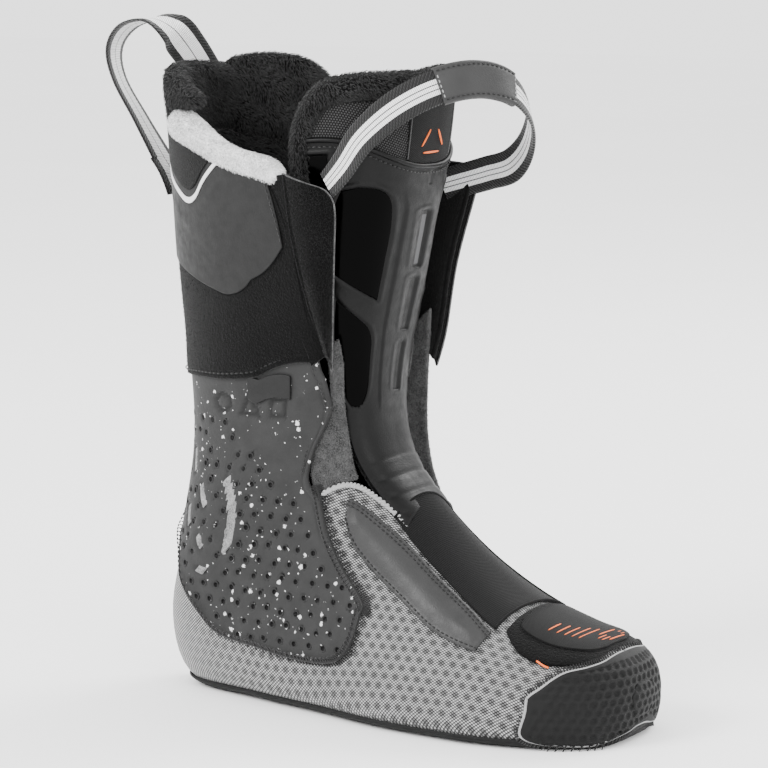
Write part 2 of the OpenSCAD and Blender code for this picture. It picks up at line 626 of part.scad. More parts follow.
outsole();
sole_board();
footbed();
lower_upper();
lower_padding();
lining();
toe_cap();
toe_stretch_insert();
toe_label_flap();
instep_elastic();
instep_panel_outer();
instep_panel_inner();
ankle_shell_outer();
ankle_shell_inner();
ankle_gusset_outer();
ankle_gusset_inner();
throat_binding_outer();
throat_binding_inner();
vent_slit_inserts();
size_tag();
cuff_foam();
cuff_lining();
cuff_wrap();
cuff_yoke();
rear_patch();
chevron_trim();
collar_trim_outer();
collar_trim_inner();
collar_plush();
flap_foam_outer();
flap_wrap_outer();
flap_lining_outer();
flap_foam_inner();
flap_wrap_inner();
flap_lining_inner();
tongue_tail_shell();
tongue_tail_foam();
tongue_shell();
tongue_foam();
tongue_plush();
tongue_mesh();
tongue_top_roll();
tongue_windows_outer();
tongue_windows_inner();
tongue_slot_inserts();
tongue_label();
tongue_loop_strap();
tongue_loop_sleeve();
rear_loop_strap();
rear_loop_base();
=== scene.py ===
"""Looks of the ski-boot liner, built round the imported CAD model.

Every visible piece lies on the lofted surfaces that part.scad uses: body() for the foot, ankle and cuff, and
tongue() for the tongue. Lengths here are in millimetres until a mesh is made; Blender's own units are metres.
A point on a surface is [k, t]: k counts cross-sections from the toe (0) to the cuff's top (17).
"""
import math

import bpy
import numpy as np
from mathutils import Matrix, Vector


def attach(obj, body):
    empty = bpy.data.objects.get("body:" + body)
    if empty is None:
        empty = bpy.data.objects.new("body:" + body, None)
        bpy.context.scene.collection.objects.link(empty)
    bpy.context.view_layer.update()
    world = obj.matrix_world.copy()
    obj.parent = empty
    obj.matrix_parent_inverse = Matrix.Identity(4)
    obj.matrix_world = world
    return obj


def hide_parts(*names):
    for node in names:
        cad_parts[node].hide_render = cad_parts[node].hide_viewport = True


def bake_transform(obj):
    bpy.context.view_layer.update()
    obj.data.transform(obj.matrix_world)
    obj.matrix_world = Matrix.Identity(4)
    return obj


MM = 0.001
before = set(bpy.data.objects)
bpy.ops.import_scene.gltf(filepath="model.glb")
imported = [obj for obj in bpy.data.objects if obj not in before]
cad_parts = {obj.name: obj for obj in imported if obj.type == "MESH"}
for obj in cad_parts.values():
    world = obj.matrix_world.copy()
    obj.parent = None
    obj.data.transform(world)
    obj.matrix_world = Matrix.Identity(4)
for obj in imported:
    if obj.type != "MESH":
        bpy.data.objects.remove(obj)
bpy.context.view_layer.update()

# ---------------------------------------------------------------- surfaces
# Front or top x, z; back or bottom x, z; outer and inner half-width; roundness of top and bottom; lean
SECTIONS = np.array([
    [139, 30, 139, 14, 8, 17, 2.0, 2.2, 0.00],
    [137, 38, 137, 6, 17, 25, 2.3, 3.0, 0.00],
    [130, 44, 130, 1, 30, 34, 2.5, 5.0, 0.00],
    [118, 49, 118, 0, 40, 41, 2.6, 6.0, 0.00],
    [100, 54, 100, 0, 48, 45, 2.4, 6.0, 0.05],
    [74, 65, 74, 0, 52, 48, 2.2, 6.0, 0.12],
    [46, 85, 46, 0, 50, 45, 2.0, 6.0, 0.20],
    [22, 108, 12, 0, 46, 42, 2.0, 6.0, 0.26],
    [4, 128, -30, 0, 42, 39, 2.2, 5.0, 0.20],
    [-4, 144, -75, 0, 40, 38, 2.6, 4.0, 0.10],
    [-6, 158, -124, 3, 37, 37, 3.0, 3.0, 0.00],
    [-6, 172, -139, 34, 37, 37, 3.2, 2.6, -0.05],
    [-4, 188, -131, 80, 38, 39, 3.4, 2.4, -0.08],
    [0, 208, -122, 130, 39, 41, 3.6, 2.3, -0.10],
    [5, 232, -123, 180, 44, 46, 3.8, 2.3, -0.14],
    [12, 268, -127, 240, 51, 53, 4.0, 2.3, -0.18],
    [18, 303, -130, 292, 56, 58, 4.0, 2.3, -0.22],
    [22, 338, -134, 338, 59, 61, 4.0, 2.3, -0.25],
])
# Half-width and side depth of the tongue at sections 7 to 17
TONGUE = np.array([
    [25, 18], [25, 20], [26, 22], [27, 24], [28, 26], [30, 29],
    [35, 33], [41, 39], [47, 44], [50, 51], [50, 53],
])
TONGUE_FIRST = 7
TONGUE_ROUND = 2.6
FLOOR = 2.5            # height of the upper's underside
FLOOR_SHARE = 0.75     # how much of an inward offset the flat underside keeps
TOE_SECTIONS = 4
TIP_SHARE = 0.4        # how much of an offset the foot's very tip keeps
TIP_SECTIONS = 2


def table_at(table, x):
    """Catmull-Rom values of a table's rows at the real-valued indices x."""
    table, x = np.asarray(table, float), np.asarray(x, float)
    last = len(table) - 1
    i = np.clip(np.floor(x), 0, last - 1).astype(int)
    f = (x - i)[..., None]
    a, b, c, d = (table[np.clip(i + s, 0, last)] for s in (-1, 0, 1, 2))
    square, cube = 2 * a - 5 * b + 4 * c - d, 3 * b - a - 3 * c + d
    return 0.5 * (2 * b + (c - a) * f + square * f ** 2 + cube * f ** 3)


def resample(points, n):
    """n points along the smooth curve through points."""
    return table_at(points, np.linspace(0, len(points) - 1, n))


def signed_pow(v, e):
    """v to the power e, with its sign kept."""
    return np.sign(v) * np.abs(v) ** e


def body(p, off=0.0, floor=None):
    """Points of the body's lofted surface, off millimetres outside it."""
    p = np.asarray(p, float)
    off = np.broadcast_to(np.asarray(off, float), p.shape[:-1])
    q = np.moveaxis(table_at(SECTIONS, p[..., 0]), -1, 0)
    along = np.stack([q[0] - q[2], q[1] - q[3]])
    along = along / np.linalg.norm(along, axis=0)
    in_plane = off * np.clip(TIP_SHARE + (1 - TIP_SHARE) * p[..., 0] / TIP_SECTIONS, 0, 1)
    top = q[0:2] + along * in_plane
    bottom = q[2:4] - along * in_plane
    c, s = np.cos(2 * np.pi * p[..., 1]), np.sin(2 * np.pi * p[..., 1])
    n = np.where(c > 0, q[6], q[7])
    a, b = signed_pow(c, 2 / n), signed_pow(s, 2 / n)
    width = (np.where(s > 0, q[4], q[5]) + in_plane) * (1 - q[8] * a)
    mid = (top + bottom) / 2 + (top - bottom) / 2 * a
    low = FLOOR + FLOOR_SHARE * np.maximum(0, -off) if floor is None else floor
    ahead = off * np.clip(1 - (p[..., 0] - 1) / TOE_SECTIONS, 0, 1)
    return np.stack([mid[0] + ahead, -b * width, np.maximum(mid[1], low)], -1)


def tongue(p, off=0.0):
    """Points of the tongue's surface: p = [k, u], with u from 1 at the outer edge to -1 at the inner edge."""
    p = np.asarray(p, float)
    off = np.broadcast_to(np.asarray(off, float), p.shape[:-1])
    q = np.moveaxis(table_at(SECTIONS, p[..., 0]), -1, 0)
    w = np.moveaxis(table_at(TONGUE, p[..., 0] - TONGUE_FIRST), -1, 0)
    along = np.stack([q[0] - q[2], q[1] - q[3]])
    along = along / np.linalg.norm(along, axis=0)
    angle = np.pi / 2 * np.clip(p[..., 1], -1, 1)
    c = np.cos(angle).clip(0) ** (2 / TONGUE_ROUND)
    b = signed_pow(np.sin(angle), 2 / TONGUE_ROUND)
    mid = q[0:2] + along * (off - (w[1] + off) * (1 - c))
    return np.stack([mid[0], -b * (w[0] + off), mid[1]], -1)


def mirrored(points):
    """An edge given by [k, t] for the outer side, on the inner side."""
    return [(p[0], -p[1]) for p in points]


# ---------------------------------------------------------------- mesh helpers
rng = np.random.default_rng(7)


def unit(v):
    """Vectors scaled to length 1."""
    return v / np.maximum(np.linalg.norm(v, axis=-1, keepdims=True), 1e-9)


def smoothstep(x):
    """A smooth rise from 0 at x = 0 to 1 at x = 1."""
    x = np.clip(x, 0, 1)
    return x * x * (3 - 2 * x)


def settle(piece, slot, *nodes, fill=None):
    """Hides the CAD nodes that a piece stands for. The piece, slot and fill are not used."""
    if nodes:
        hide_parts(*nodes)


def make(name, verts, faces, body_name, look, uv=None, **attributes):
    """A mesh object from millimetre points, riding on a CAD body. attributes are one value for each point."""
    mesh = bpy.data.meshes.new(name)
    mesh.from_pydata((np.asarray(verts) * MM).tolist(), [], [list(map(int, f)) for f in faces])
    mesh.polygons.foreach_set("use_smooth", [True] * len(mesh.polygons))
    if uv is not None:
        corner = np.zeros(len(mesh.loops), int)
        mesh.loops.foreach_get("vertex_index", corner)
        layer = mesh.uv_layers.new(name="cloth")
        layer.data.foreach_set("uv", np.asarray(uv, float)[corner].astype(np.float32).ravel())
    for key, values in attributes.items():
        field = mesh.attributes.new(key, "FLOAT", "POINT")
        field.data.foreach_set("value", np.asarray(values, np.float32).ravel())
    mesh.materials.append(LOOKS[look])
    mesh.update()
    piece = bpy.data.objects.new(name, mesh)
    bpy.context.scene.collection.objects.link(piece)
    if body_name:
        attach(piece, body_name)
    return piece


def grid_faces(rows, cols, base=0, flip=False, wrap=False):
    """Quads of a rows x cols grid of points."""
    i, j = np.meshgrid(np.arange(rows - 1), np.arange(cols if wrap else cols - 1), indexing="ij")
    right = (j + 1) % cols
    quads = np.stack([i * cols + j, i * cols + right, (i + 1) * cols + right, (i + 1) * cols + j], -1)
    quads = quads.reshape(-1, 4) + base
    return quads[:, ::-1] if flip else quads


def lengths(points, axis):
    """Distance walked along an axis of a grid of points."""
    step = np.linalg.norm(np.diff(points, axis=axis), axis=-1)
    pad = [(0, 0)] * step.ndim
    pad[axis] = (1, 0)
    return np.cumsum(np.pad(step, pad), axis=axis)


def eased(n, strength=0.55):
    """n shares from 0 to 1 that lie closer together at both ends."""
    u = np.linspace(0, 1, n)
    return u - strength * np.sin(2 * np.pi * u) / (2 * np.pi)


def even_grid(edge_a, edge_b, rows, cols, surface):
    """Parameters between two edges, spaced by real length in both directions."""
    fine = 240
    a, b = resample(edge_a, fine), resample(edge_b, fine)
    walk = lengths(surface((a + b) / 2), 0) + 0.5 * (lengths(surface(a), 0) + lengths(surface(b), 0))
    at = np.interp(eased(rows) * walk[-1], walk, np.linspace(0, 1, fine))
    pick = np.linspace(0, 1, fine)
    a, b = (np.stack([np.interp(at, pick, e[:, c]) for c in (0, 1)], -1) for e in (a, b))
    v = np.linspace(0, 1, 300)
    line = a[:, None] * (1 - v[None, :, None]) + b[:, None] * v[None, :, None]
    walk = lengths(surface(line), 1)
    share = np.stack([
        np.interp(eased(cols) * w[-1], w, v) if w[-1] > 1e-6 else eased(cols) for w in walk
    ])[..., None]
    return a[:, None] * (1 - share) + b[:, None] * share


def edge_distance(points):
    """Distance from each grid point to the nearest border, along the grid."""
    down, across = lengths(points, 0), lengths(points, 1)
    return np.minimum.reduce([down, down[-1:] - down, across, across[:, -1:] - across])


def border(rows, cols):
    """The border of a grid, as point indices in one loop."""
    last = (rows - 1) * cols
    return np.concatenate([
        np.arange(cols), np.arange(1, rows) * cols + cols - 1,
        last + np.arange(cols - 2, -1, -1), np.arange(rows - 2, 0, -1) * cols,
    ])


def panel(name, edge_a, edge_b, size, out, inn, body_name, look, surface=body, rim=1.0, relief=None, **masks):
    """A thick piece between two edges of a surface, with a rounded rim. Returns the piece and its grid.

    relief(p, points, d) adds millimetres to the outer face, and each mask gives an attribute the same way.
    """
    rows, cols = size
    p = even_grid(edge_a, edge_b, rows, cols, surface)
    base = surface(p, (out + inn) / 2)
    d = edge_distance(base)
    rise = (out - inn) / 2 * np.sqrt(1 - (1 - np.clip(d / rim, 0, 1)) ** 2)
    raised = rise + (relief(p, base, d) if relief else 0)
    outer = surface(p, (out + inn) / 2 + raised)
    inner = surface(p, (out + inn) / 2 - rise)
    count = rows * cols
    inside = np.ones(count, bool)
    inside[border(rows, cols)] = False
    low = np.arange(count)
    low[inside] = count + np.arange(inside.sum())
    quads = grid_faces(rows, cols)
    faces = np.concatenate([quads, low[quads][:, ::-1]])
    verts = np.concatenate([outer.reshape(-1, 3), inner.reshape(-1, 3)[inside]])
    normal = np.cross(outer[rows // 2, cols // 2 + 1] - outer[rows // 2, cols // 2],
                      outer[rows // 2 + 1, cols // 2] - outer[rows // 2, cols // 2])
    if normal @ (outer[rows // 2, cols // 2] - inner[rows // 2, cols // 2]) < 0:
        faces = faces[:, ::-1]
    uv = np.stack([lengths(base, 0), lengths(base, 1)], -1).reshape(-1, 2) * MM
    uv = np.concatenate([uv, uv[inside]])
    values = {}
    for key, mask in masks.items():
        m = np.broadcast_to(mask(p, outer, d), (rows, cols)).ravel()
        values[key] = np.concatenate([m, m[inside]])
    piece = make(name, verts, faces, body_name, look, uv, **values)
    return piece, {"p": p, "surface": surface, "out": out, "points": outer}


HEEL_X = -98.0         # where the heel's round begins
HEEL_R = 36.0
TIP = np.array([141.0, 3.0, 22.0])    # where a piece round the toe closes
TIP_RINGS = 20


def unrolled(points):
    """Distance along the foot's side and round its heel, and height."""
    x, y, z = np.moveaxis(points, -1, 0)
    round_heel = -HEEL_R * np.arctan2((HEEL_X - x).clip(0), np.abs(y))
    return np.where(x > HEEL_X, x - HEEL_X, round_heel), z


def sock(name, rim, rings, cols, out, inn, body_name, look, lip=1.0, relief=None, **masks):
    """A thick piece closed round the toe: rim lists [k, t] once round."""
    edge = resample(list(rim) + [(rim[0][0], rim[0][1] + 1)], cols + 1)[:-1]
    share = np.linspace(0, 1, rings) ** 0.9
    p = np.stack([edge[None, :, 0] * share[:, None], np.broadcast_to(edge[None, :, 1], (rings, cols))], -1)
    for _ in range(2):
        turned = np.concatenate([p, p[:, :1] + [0, 1]], 1)
        walk = lengths(body(turned), 1)
        fixed = np.stack([
            np.interp(np.linspace(0, w[-1], cols + 1)[:-1], w, t) for w, t in zip(walk, turned[..., 1])
        ])
        rim_k = np.interp(fixed % 1.0, np.append(edge[:, 1] % 1.0, 1.0), np.append(edge[:, 0], edge[0, 0]))
        p = np.stack([rim_k * share[:, None], fixed], -1)
    mid = (out + inn) / 2
    down = np.linalg.norm(body(p) - body(p[-1:]), axis=-1)
    rise = (out - inn) / 2 * np.sqrt(1 - (1 - np.clip(down / lip, 0, 1)) ** 2)
    extra = relief(p, body(p), down) if relief else 0
    outer, inner = body(p, mid + rise + extra), body(p, mid - rise)
    closing = []
    for off, pole in ((mid + rise, TIP + [out, 0, 0]), (mid - rise, TIP + [inn, 0, 0])):
        turn = np.linspace(np.pi / 2, 0, TIP_RINGS + 1)[:-1, None, None]
        ring = body(p[0], off[0])
        centre = np.array([ring[:, 0].mean(), pole[1], pole[2]])
        closing.append(centre + (ring - centre) * np.cos(turn) + (pole - centre) * np.sin(turn))
    if relief:
        closing[0][..., 0] += relief(np.repeat(p[:1], TIP_RINGS, 0), closing[0], down[:1])
    outer, inner = np.concatenate([closing[0], outer]), np.concatenate([closing[1], inner])
    total = rings + TIP_RINGS
    here = np.arange(cols) + (total - 1) * cols
    ahead = np.roll(here, -1)
    faces = np.concatenate([
        grid_faces(total, cols, 0, False, True), grid_faces(total, cols, total * cols, True, True),
        np.stack([here, ahead, ahead + total * cols, here + total * cols], -1),
    ])
    along, height = unrolled(outer)
    rise = height + 0.8 * (44 - np.abs(outer[..., 1])) * smoothstep((outer[..., 0] + 90) / 90)
    uv = np.stack([along, rise], -1).reshape(-1, 2) * MM
    values = {}
    for key, mask in masks.items():
        m = mask(np.concatenate([np.repeat(p[:1], TIP_RINGS, 0), p]), outer, height).ravel()
        values[key] = np.concatenate([m, m])
    verts = np.concatenate([outer.reshape(-1, 3), inner.reshape(-1, 3)])
    return make(name, verts, faces, body_name, look, np.concatenate([uv, uv]), **values)


def inset_line(made, side, inset, start=0.0, end=1.0):
    """Points on a panel's outer face, inset from its edge a (side 0), b (1), start (2) or end (3)."""
    points = made["points"] if side < 2 else made["points"].swapaxes(0, 1)
    if side in (1, 3):
        points = points[:, ::-1]
    walk = lengths(points, 1)
    lines = [
        [np.interp(inset, w, row[:, c]) for c in range(3)]
        for w, row in zip(walk, points) if w[-1] > 2.2 * inset
    ]
    lines = np.array(lines)
    return lines[int(start * len(lines)):max(int(end * len(lines)), 2)]


def walk_evenly(path, step):
    """Points every step millimetres along a path, and the direction there."""
    walk = lengths(np.asarray(path, float), 0)
    at = np.arange(step / 2, walk[-1], step)
    points = np.stack([np.interp(at, walk, np.asarray(path)[:, c]) for c in range(3)], -1)
    ahead = np.stack([np.interp(at + 0.2, walk, np.asarray(path)[:, c]) for c in range(3)], -1)
    behind = np.stack([np.interp(at - 0.2, walk, np.asarray(path)[:, c]) for c in range(3)], -1)
    return points, unit(ahead - behind)


CAPSULE_RINGS = ((-1.0, 0.0), (-0.85, 0.7), (-0.4, 1.0), (0.4, 1.0), (0.85, 0.7), (1.0, 0.0))


def threads(name, strokes, radius, body_name, look):
    """Short stitches, each a capsule from one point to another: strokes is an N x 2 x 3 array."""
    strokes = np.asarray(strokes, float).reshape(-1, 2, 3)
    a, b = strokes[:, 0], strokes[:, 1]
    axis = unit(b - a)
    side = unit(np.cross(axis, [0.31, 0.52, 0.80]))
    up = np.cross(axis, side)
    middle, half = (a + b) / 2, np.linalg.norm(b - a, axis=-1)[:, None] / 2
    sides = 6
    rings = []
    for along, wide in CAPSULE_RINGS:
        for j in range(sides):
            angle = 2 * math.pi * j / sides
            rings.append(middle + axis * half * along
                         + radius * max(wide, 0.05) * (side * math.cos(angle) + up * math.sin(angle)))
    verts = np.stack(rings, 1)
    count = len(CAPSULE_RINGS)
    one = grid_faces(count, sides, 0, True, True).tolist()
    one += [list(range(sides)), list(range(count * sides - 1, (count - 1) * sides - 1, -1))]
    faces = [[v + i * count * sides for v in f] for i in range(len(verts)) for f in one]
    return make(name, verts.reshape(-1, 3), faces, body_name, look)


def stitch_strokes(path, stitch, gap, lift=0.15, centre=None):
    """Stitches along a path, as strokes lying just above it."""
    points, ahead = walk_evenly(path, stitch + gap)
    if centre is not None:
        points = points + lift * unit(points - centre)
    return np.stack([points - ahead * stitch / 2, points + ahead * stitch / 2], 1)


def zigzag_strokes(line_a, line_b, step, slant=0.6):
    """Overlock stitches that run from one line to the other and back."""
    n = max(int(lengths(np.asarray(line_a), 0)[-1] / step), 2)
    a, b = resample(line_a, n), resample(line_b, n)
    shift = np.concatenate([b[1:], b[-1:]]) - b
    return np.stack([a, b + shift * slant], 1)


def circles(side, up, sides):
    """A unit circle of points for each pair of directions side and up."""
    angle = np.linspace(0, 2 * np.pi, sides, endpoint=False)
    return side[:, None] * np.cos(angle)[None, :, None] + up[:, None] * np.sin(angle)[None, :, None]


def pipe_faces(count, sides):
    """The wall of a pipe of count rings, and a cap on each end."""
    caps = [list(range(sides))[::-1], [(count - 1) * sides + j for j in range(sides)]]
    return grid_faces(count, sides, 0, False, True).tolist() + caps


def tube(name, path, radius, body_name, look, sides=10, steps=None):
    """A round cord along a path, tapered shut at both ends."""
    path = resample(path, steps or max(len(path) * 6, 40))
    ahead = unit(np.gradient(path, axis=0))
    side = unit(np.cross(ahead, [0.21, 0.33, 0.92]))
    up = np.cross(side, ahead)
    n = len(path)
    taper = np.ones(n)
    taper[[0, -1]] = 0.05
    taper[[1, -2]] = 0.8
    verts = path[:, None] + circles(side, up, sides) * (radius * taper)[:, None, None]
    angle = np.linspace(0, 2 * np.pi, sides, endpoint=False)
    uv = np.stack(np.broadcast_arrays(lengths(path, 0)[:, None], angle[None] * radius), -1) * MM
    return make(name, verts.reshape(-1, 3), pipe_faces(n, sides), body_name, look, uv.reshape(-1, 2))


def roll(name, path, radii, body_name, look, sides=28, steps=90):
    """A stuffed roll along a path, round at both ends."""
    line = resample(path, steps)
    radius = resample(np.array(radii, float)[:, None], steps)[:, 0]
    walk = lengths(line, 0)
    ends = np.minimum(walk, walk[-1] - walk) / radius
    radius = radius * np.sqrt(np.clip(1 - (1 - np.clip(ends, 0, 1)) ** 2, 0.002, 1))
    ahead = unit(np.gradient(line, axis=0))
    side = unit(np.cross(ahead, [0, 0, 1.0]))
    verts = line[:, None] + circles(side, np.cross(side, ahead), sides) * radius[:, None, None]
    return make(name, verts.reshape(-1, 3), pipe_faces(steps, sides), body_name, look)


def fur(name, piece, count, length, width, comb, lean, body_name, look, keep=None):
    """Short fibres on a piece's surface, lying along comb. keep(points, normals) picks where they grow."""
    mesh = piece.data
    mesh.calc_loop_triangles()
    tri = np.zeros(len(mesh.loop_triangles) * 3, int)
    mesh.loop_triangles.foreach_get("vertices", tri)
    co = np.zeros(len(mesh.vertices) * 3)
    mesh.vertices.foreach_get("co", co)
    corners = (co.reshape(-1, 3) / MM)[tri.reshape(-1, 3)]
    cross = np.cross(corners[:, 1] - corners[:, 0], corners[:, 2] - corners[:, 0])
    if keep is not None:
        cross = cross * keep(corners.mean(1), unit(cross))[:, None]
    area = np.linalg.norm(cross, axis=-1)
    picked = rng.choice(len(area), count, p=area / area.sum())
    mix = rng.dirichlet((1, 1, 1), count)
    root = np.einsum("ij,ijk->ik", mix, corners[picked])
    normal = unit(cross[picked])
    waves = [np.sin(root @ np.array(way)) * 0.5 for way in ((0.21, 0.17, 0.13), (-0.11, 0.25, 0.31))]
    wave = waves[0] + waves[1]
    flow = unit(np.asarray(comb, float) + 0.8 * wave[:, None] * np.cross(normal, comb))
    flow = unit(flow - normal * np.sum(flow * normal, -1, keepdims=True))
    way = unit(normal * (1 - lean) + flow * lean + rng.normal(0, 0.15, (count, 3)))
    side = unit(np.cross(way, normal) + rng.normal(0, 0.4, (count, 3)))
    long = length * rng.uniform(0.6, 1.15, (count, 1))
    wide = width * rng.uniform(0.7, 1.3, (count, 1))
    middle = root + way * long * 0.55
    tip = root + unit(way + flow * 0.5) * long
    verts = np.stack([
        root - side * wide / 2, root + side * wide / 2,
        middle + side * wide * 0.4, middle - side * wide * 0.4, tip,
    ], 1)
    base = (np.arange(count) * 5)[:, None]
    faces = (base + [0, 1, 2, 3]).tolist() + (base + [3, 2, 4]).tolist()
    tone = np.repeat(rng.uniform(0, 1, count) * 0.6 + 0.2 + 0.2 * wave, 5)
    return make(name, verts.reshape(-1, 3), faces, body_name, look, tone=tone)


def band(name, route, sides, width, thick, body_name, look, steps=160, across=25, relief=None):
    """Flat webbing along a route: sides gives the direction of its width at each route point."""
    path, wide = resample(route, steps), resample(sides, steps)
    ahead = unit(np.gradient(path, axis=0))
    wide = unit(wide - ahead * np.sum(wide * ahead, -1, keepdims=True))
    up = np.cross(ahead, wide)
    walk = lengths(path, 0)
    s = np.linspace(-1, 1, across)
    edge = np.sqrt(1 - np.abs(s) ** 12)
    rib = relief(walk[:, None], s[None, :] * width / 2) if relief else np.zeros((steps, across))
    flat = path[:, None] + wide[:, None] * (s * width / 2)[None, :, None]
    top = flat + up[:, None] * (edge * thick / 2 + rib * edge)[..., None]
    low = flat - up[:, None] * (edge * thick / 2 + rib * edge)[..., None]
    count = steps * across
    faces = np.concatenate([grid_faces(steps, across), grid_faces(steps, across, count, True)])
    loop = border(steps, across)
    walls = np.stack([np.roll(loop, -1), loop, loop + count, np.roll(loop, -1) + count], -1)
    uv = np.stack(np.broadcast_arrays(walk[:, None], s[None] * width / 2), -1).reshape(-1, 2) * MM
    verts = np.concatenate([top.reshape(-1, 3), low.reshape(-1, 3)])
    return make(name, verts, np.concatenate([faces, walls]), body_name, look, np.concatenate([uv, uv]))


def puff(piece, voxel, pressure, cap, look, frames=20):
    """Swells a padded piece in a cloth simulation. No point moves further than cap millimetres."""
    scene = bpy.context.scene
    remesh = piece.modifiers.new("remesh", "REMESH")
    remesh.mode = "VOXEL"
    remesh.voxel_size = voxel * MM
    mesh = bpy.data.meshes.new_from_object(piece.evaluated_get(bpy.context.evaluated_depsgraph_get()))
    piece.modifiers.clear()
    piece.data = mesh
    rest = np.zeros(len(mesh.vertices) * 3)
    mesh.vertices.foreach_get("co", rest)
    rest = rest.reshape(-1, 3)
    cloth = piece.modifiers.new("cloth", "CLOTH")
    cloth.settings.quality = 4
    cloth.settings.use_pressure = True
    cloth.settings.uniform_pressure_force = pressure
    cloth.settings.effector_weights.gravity = 0
    cloth.collision_settings.use_collision = False
    cloth.point_cache.frame_start = 1
    cloth.point_cache.frame_end = frames
    for number in range(1, frames + 1):
        scene.frame_set(number)
    swollen = piece.evaluated_get(bpy.context.evaluated_depsgraph_get()).to_mesh()
    moved = np.zeros(len(rest) * 3)
    swollen.vertices.foreach_get("co", moved)
    shift = moved.reshape(-1, 3) - rest
    long = np.linalg.norm(shift, axis=-1, keepdims=True)
    shift = shift * np.minimum(1, cap * MM / np.maximum(long, 1e-9))
    piece.modifiers.clear()
    scene.frame_set(1)
    mesh.vertices.foreach_set("co", (rest + shift).astype(np.float32).ravel())
    mesh.materials.clear()
    mesh.materials.append(LOOKS[look])
    mesh.polygons.foreach_set("use_smooth", [True] * len(mesh.polygons))
    mesh.update()


def rail(edge, off, shift=0.0, surface=body, n=160):
    """A line on a surface beside an edge given in its parameters, shift millimetres to its left."""
    p = resample(edge, n)
    points = surface(p, off)
    normal = unit(surface(p, np.asarray(off) + 1.0) - points)
    ahead = unit(np.gradient(points, axis=0))
    side = np.cross(normal, ahead)
    return points + side * shift


# ---------------------------------------------------------------- materials
CONTRAST = 1.85        # the bright studio lifts dark cloth, so linear colours are raised to this power


def tone(*levels):
    """A linear colour for sRGB levels of 0 to 255."""
    colour = levels if len(levels) == 3 else levels * 3
    return tuple(((c / 255 + 0.055) / 1.055) ** (2.4 * CONTRAST) for c in colour) + (1.0,)


class Look:
    """Builds one procedural material, node by node."""

    def __init__(self, name, roughness, sheen=0.0, specular=0.4):
        self.material = bpy.data.materials.new(name)
        self.material.use_nodes = True
        self.tree = self.material.node_tree
        self.shader = self.tree.nodes["Principled BSDF"]
        self.set(self.shader, **{
            "Roughness": roughness, "Sheen Weight": sheen, "Sheen Roughness": 0.45,
            "Specular IOR Level": specular,
        })
        self.normal = None

    def set(self, node, **values):
        """Sets or links inputs by name, or by place as i0, i1 and so on."""
        for key, value in values.items():
            socket = node.inputs[int(key[1:])] if key[0] == "i" and key[1:].isdigit() else node.inputs[key]
            if isinstance(value, bpy.types.NodeSocket):
                self.tree.links.new(value, socket)
            else:
                socket.default_value = value
        return node

    def add(self, kind, props=(), **values):
        """A new shader node with its properties and inputs."""
        node = self.tree.nodes.new("ShaderNode" + kind)
        for key, value in dict(props).items():
            setattr(node, key, value)
        return self.set(node, **values)

    def space(self, cloth=False, turn=0.0):
        """Millimetre coordinates: on the cloth's own UV, or in the object's space."""
        if cloth:
            source = self.add("UVMap", {"uv_map": "cloth"}).outputs["UV"]
        else:
            source = self.add("TexCoord").outputs["Object"]
        mapping = self.add("Mapping", Vector=source, Scale=(1 / MM,) * 3, Rotation=(0, 0, turn))
        return mapping.outputs["Vector"]

    def noise(self, size, detail=3.0, space=None, rough=0.55):
        """Noise with features about size millimetres across."""
        return self.add("TexNoise", Vector=space or self.space(), Scale=1 / size, Detail=detail,
                        Roughness=rough).outputs["Fac"]

    def cells(self, size, space=None, feature="F1", output="Distance"):
        """Cells about size millimetres across."""
        space = space or self.space()
        return self.add("TexVoronoi", {"feature": feature}, Vector=space, Scale=1 / size).outputs[output]

    def bands(self, pitch, space):
        """Parallel ridges, pitch millimetres apart along the space's X."""
        kind = {"wave_type": "BANDS", "bands_direction": "X", "wave_profile": "SIN"}
        return self.add("TexWave", kind, Vector=space, Scale=1 / pitch * 0.314, Distortion=0.0).outputs["Fac"]

    def math(self, operation, a, b=0.0):
        return self.add("Math", {"operation": operation}, i0=a, i1=b).outputs[0]

    def vector(self, operation, *inputs, output=0, **values):
        """A vector sum: its inputs in order, then any others by name."""
        values.update({f"i{number}": value for number, value in enumerate(inputs)})
        return self.add("VectorMath", {"operation": operation}, **values).outputs[output]

    def ramp(self, value, low, high, to_low=0.0, to_high=1.0):
        """value mapped from low..high, and held at the ends."""
        limits = {"From Min": low, "From Max": high, "To Min": to_low, "To Max": to_high}
        return self.add("MapRange", Value=value, **limits).outputs["Result"]

    def mix(self, share, a, b, blend="MIX"):
        """Colour a, and share of colour b over it."""
        return self.add("Mix", {"data_type": "RGBA", "blend_type": blend}, i0=share, i6=a, i7=b).outputs[2]

    def mask(self, name):
        return self.add("Attribute", {"attribute_name": name}).outputs["Fac"]

    def colour(self, value):
        return self.set(self.shader, **{"Base Color": value})

    def bump(self, height, depth, strength=1.0):
        """Adds relief of about depth millimetres."""
        node = self.add("Bump", Height=height, Strength=strength, Distance=depth * MM)
        if self.normal:
            self.set(node, Normal=self.normal)
        self.normal = node.outputs["Normal"]
        self.set(self.shader, Normal=self.normal)

    def lattice(self, pitch, space):
        """Distance to the nearest point of a staggered lattice, in millimetres."""
        rows = pitch * math.sqrt(3)
        both = []
        for move in (0.0, 0.5):
            cell = self.vector("DIVIDE", space, (pitch, rows, 1.0))
            cell = self.vector("ADD", cell, (move, move, 0.0))
            cell = self.vector("FRACTION", cell)
            cell = self.vector("SUBTRACT", cell, (0.5, 0.5, 0.0))
            cell = self.vector("MULTIPLY", cell, (pitch, rows, 0.0))
            both.append(self.vector("LENGTH", cell, output="Value"))
        return self.math("MINIMUM", both[0], both[1])


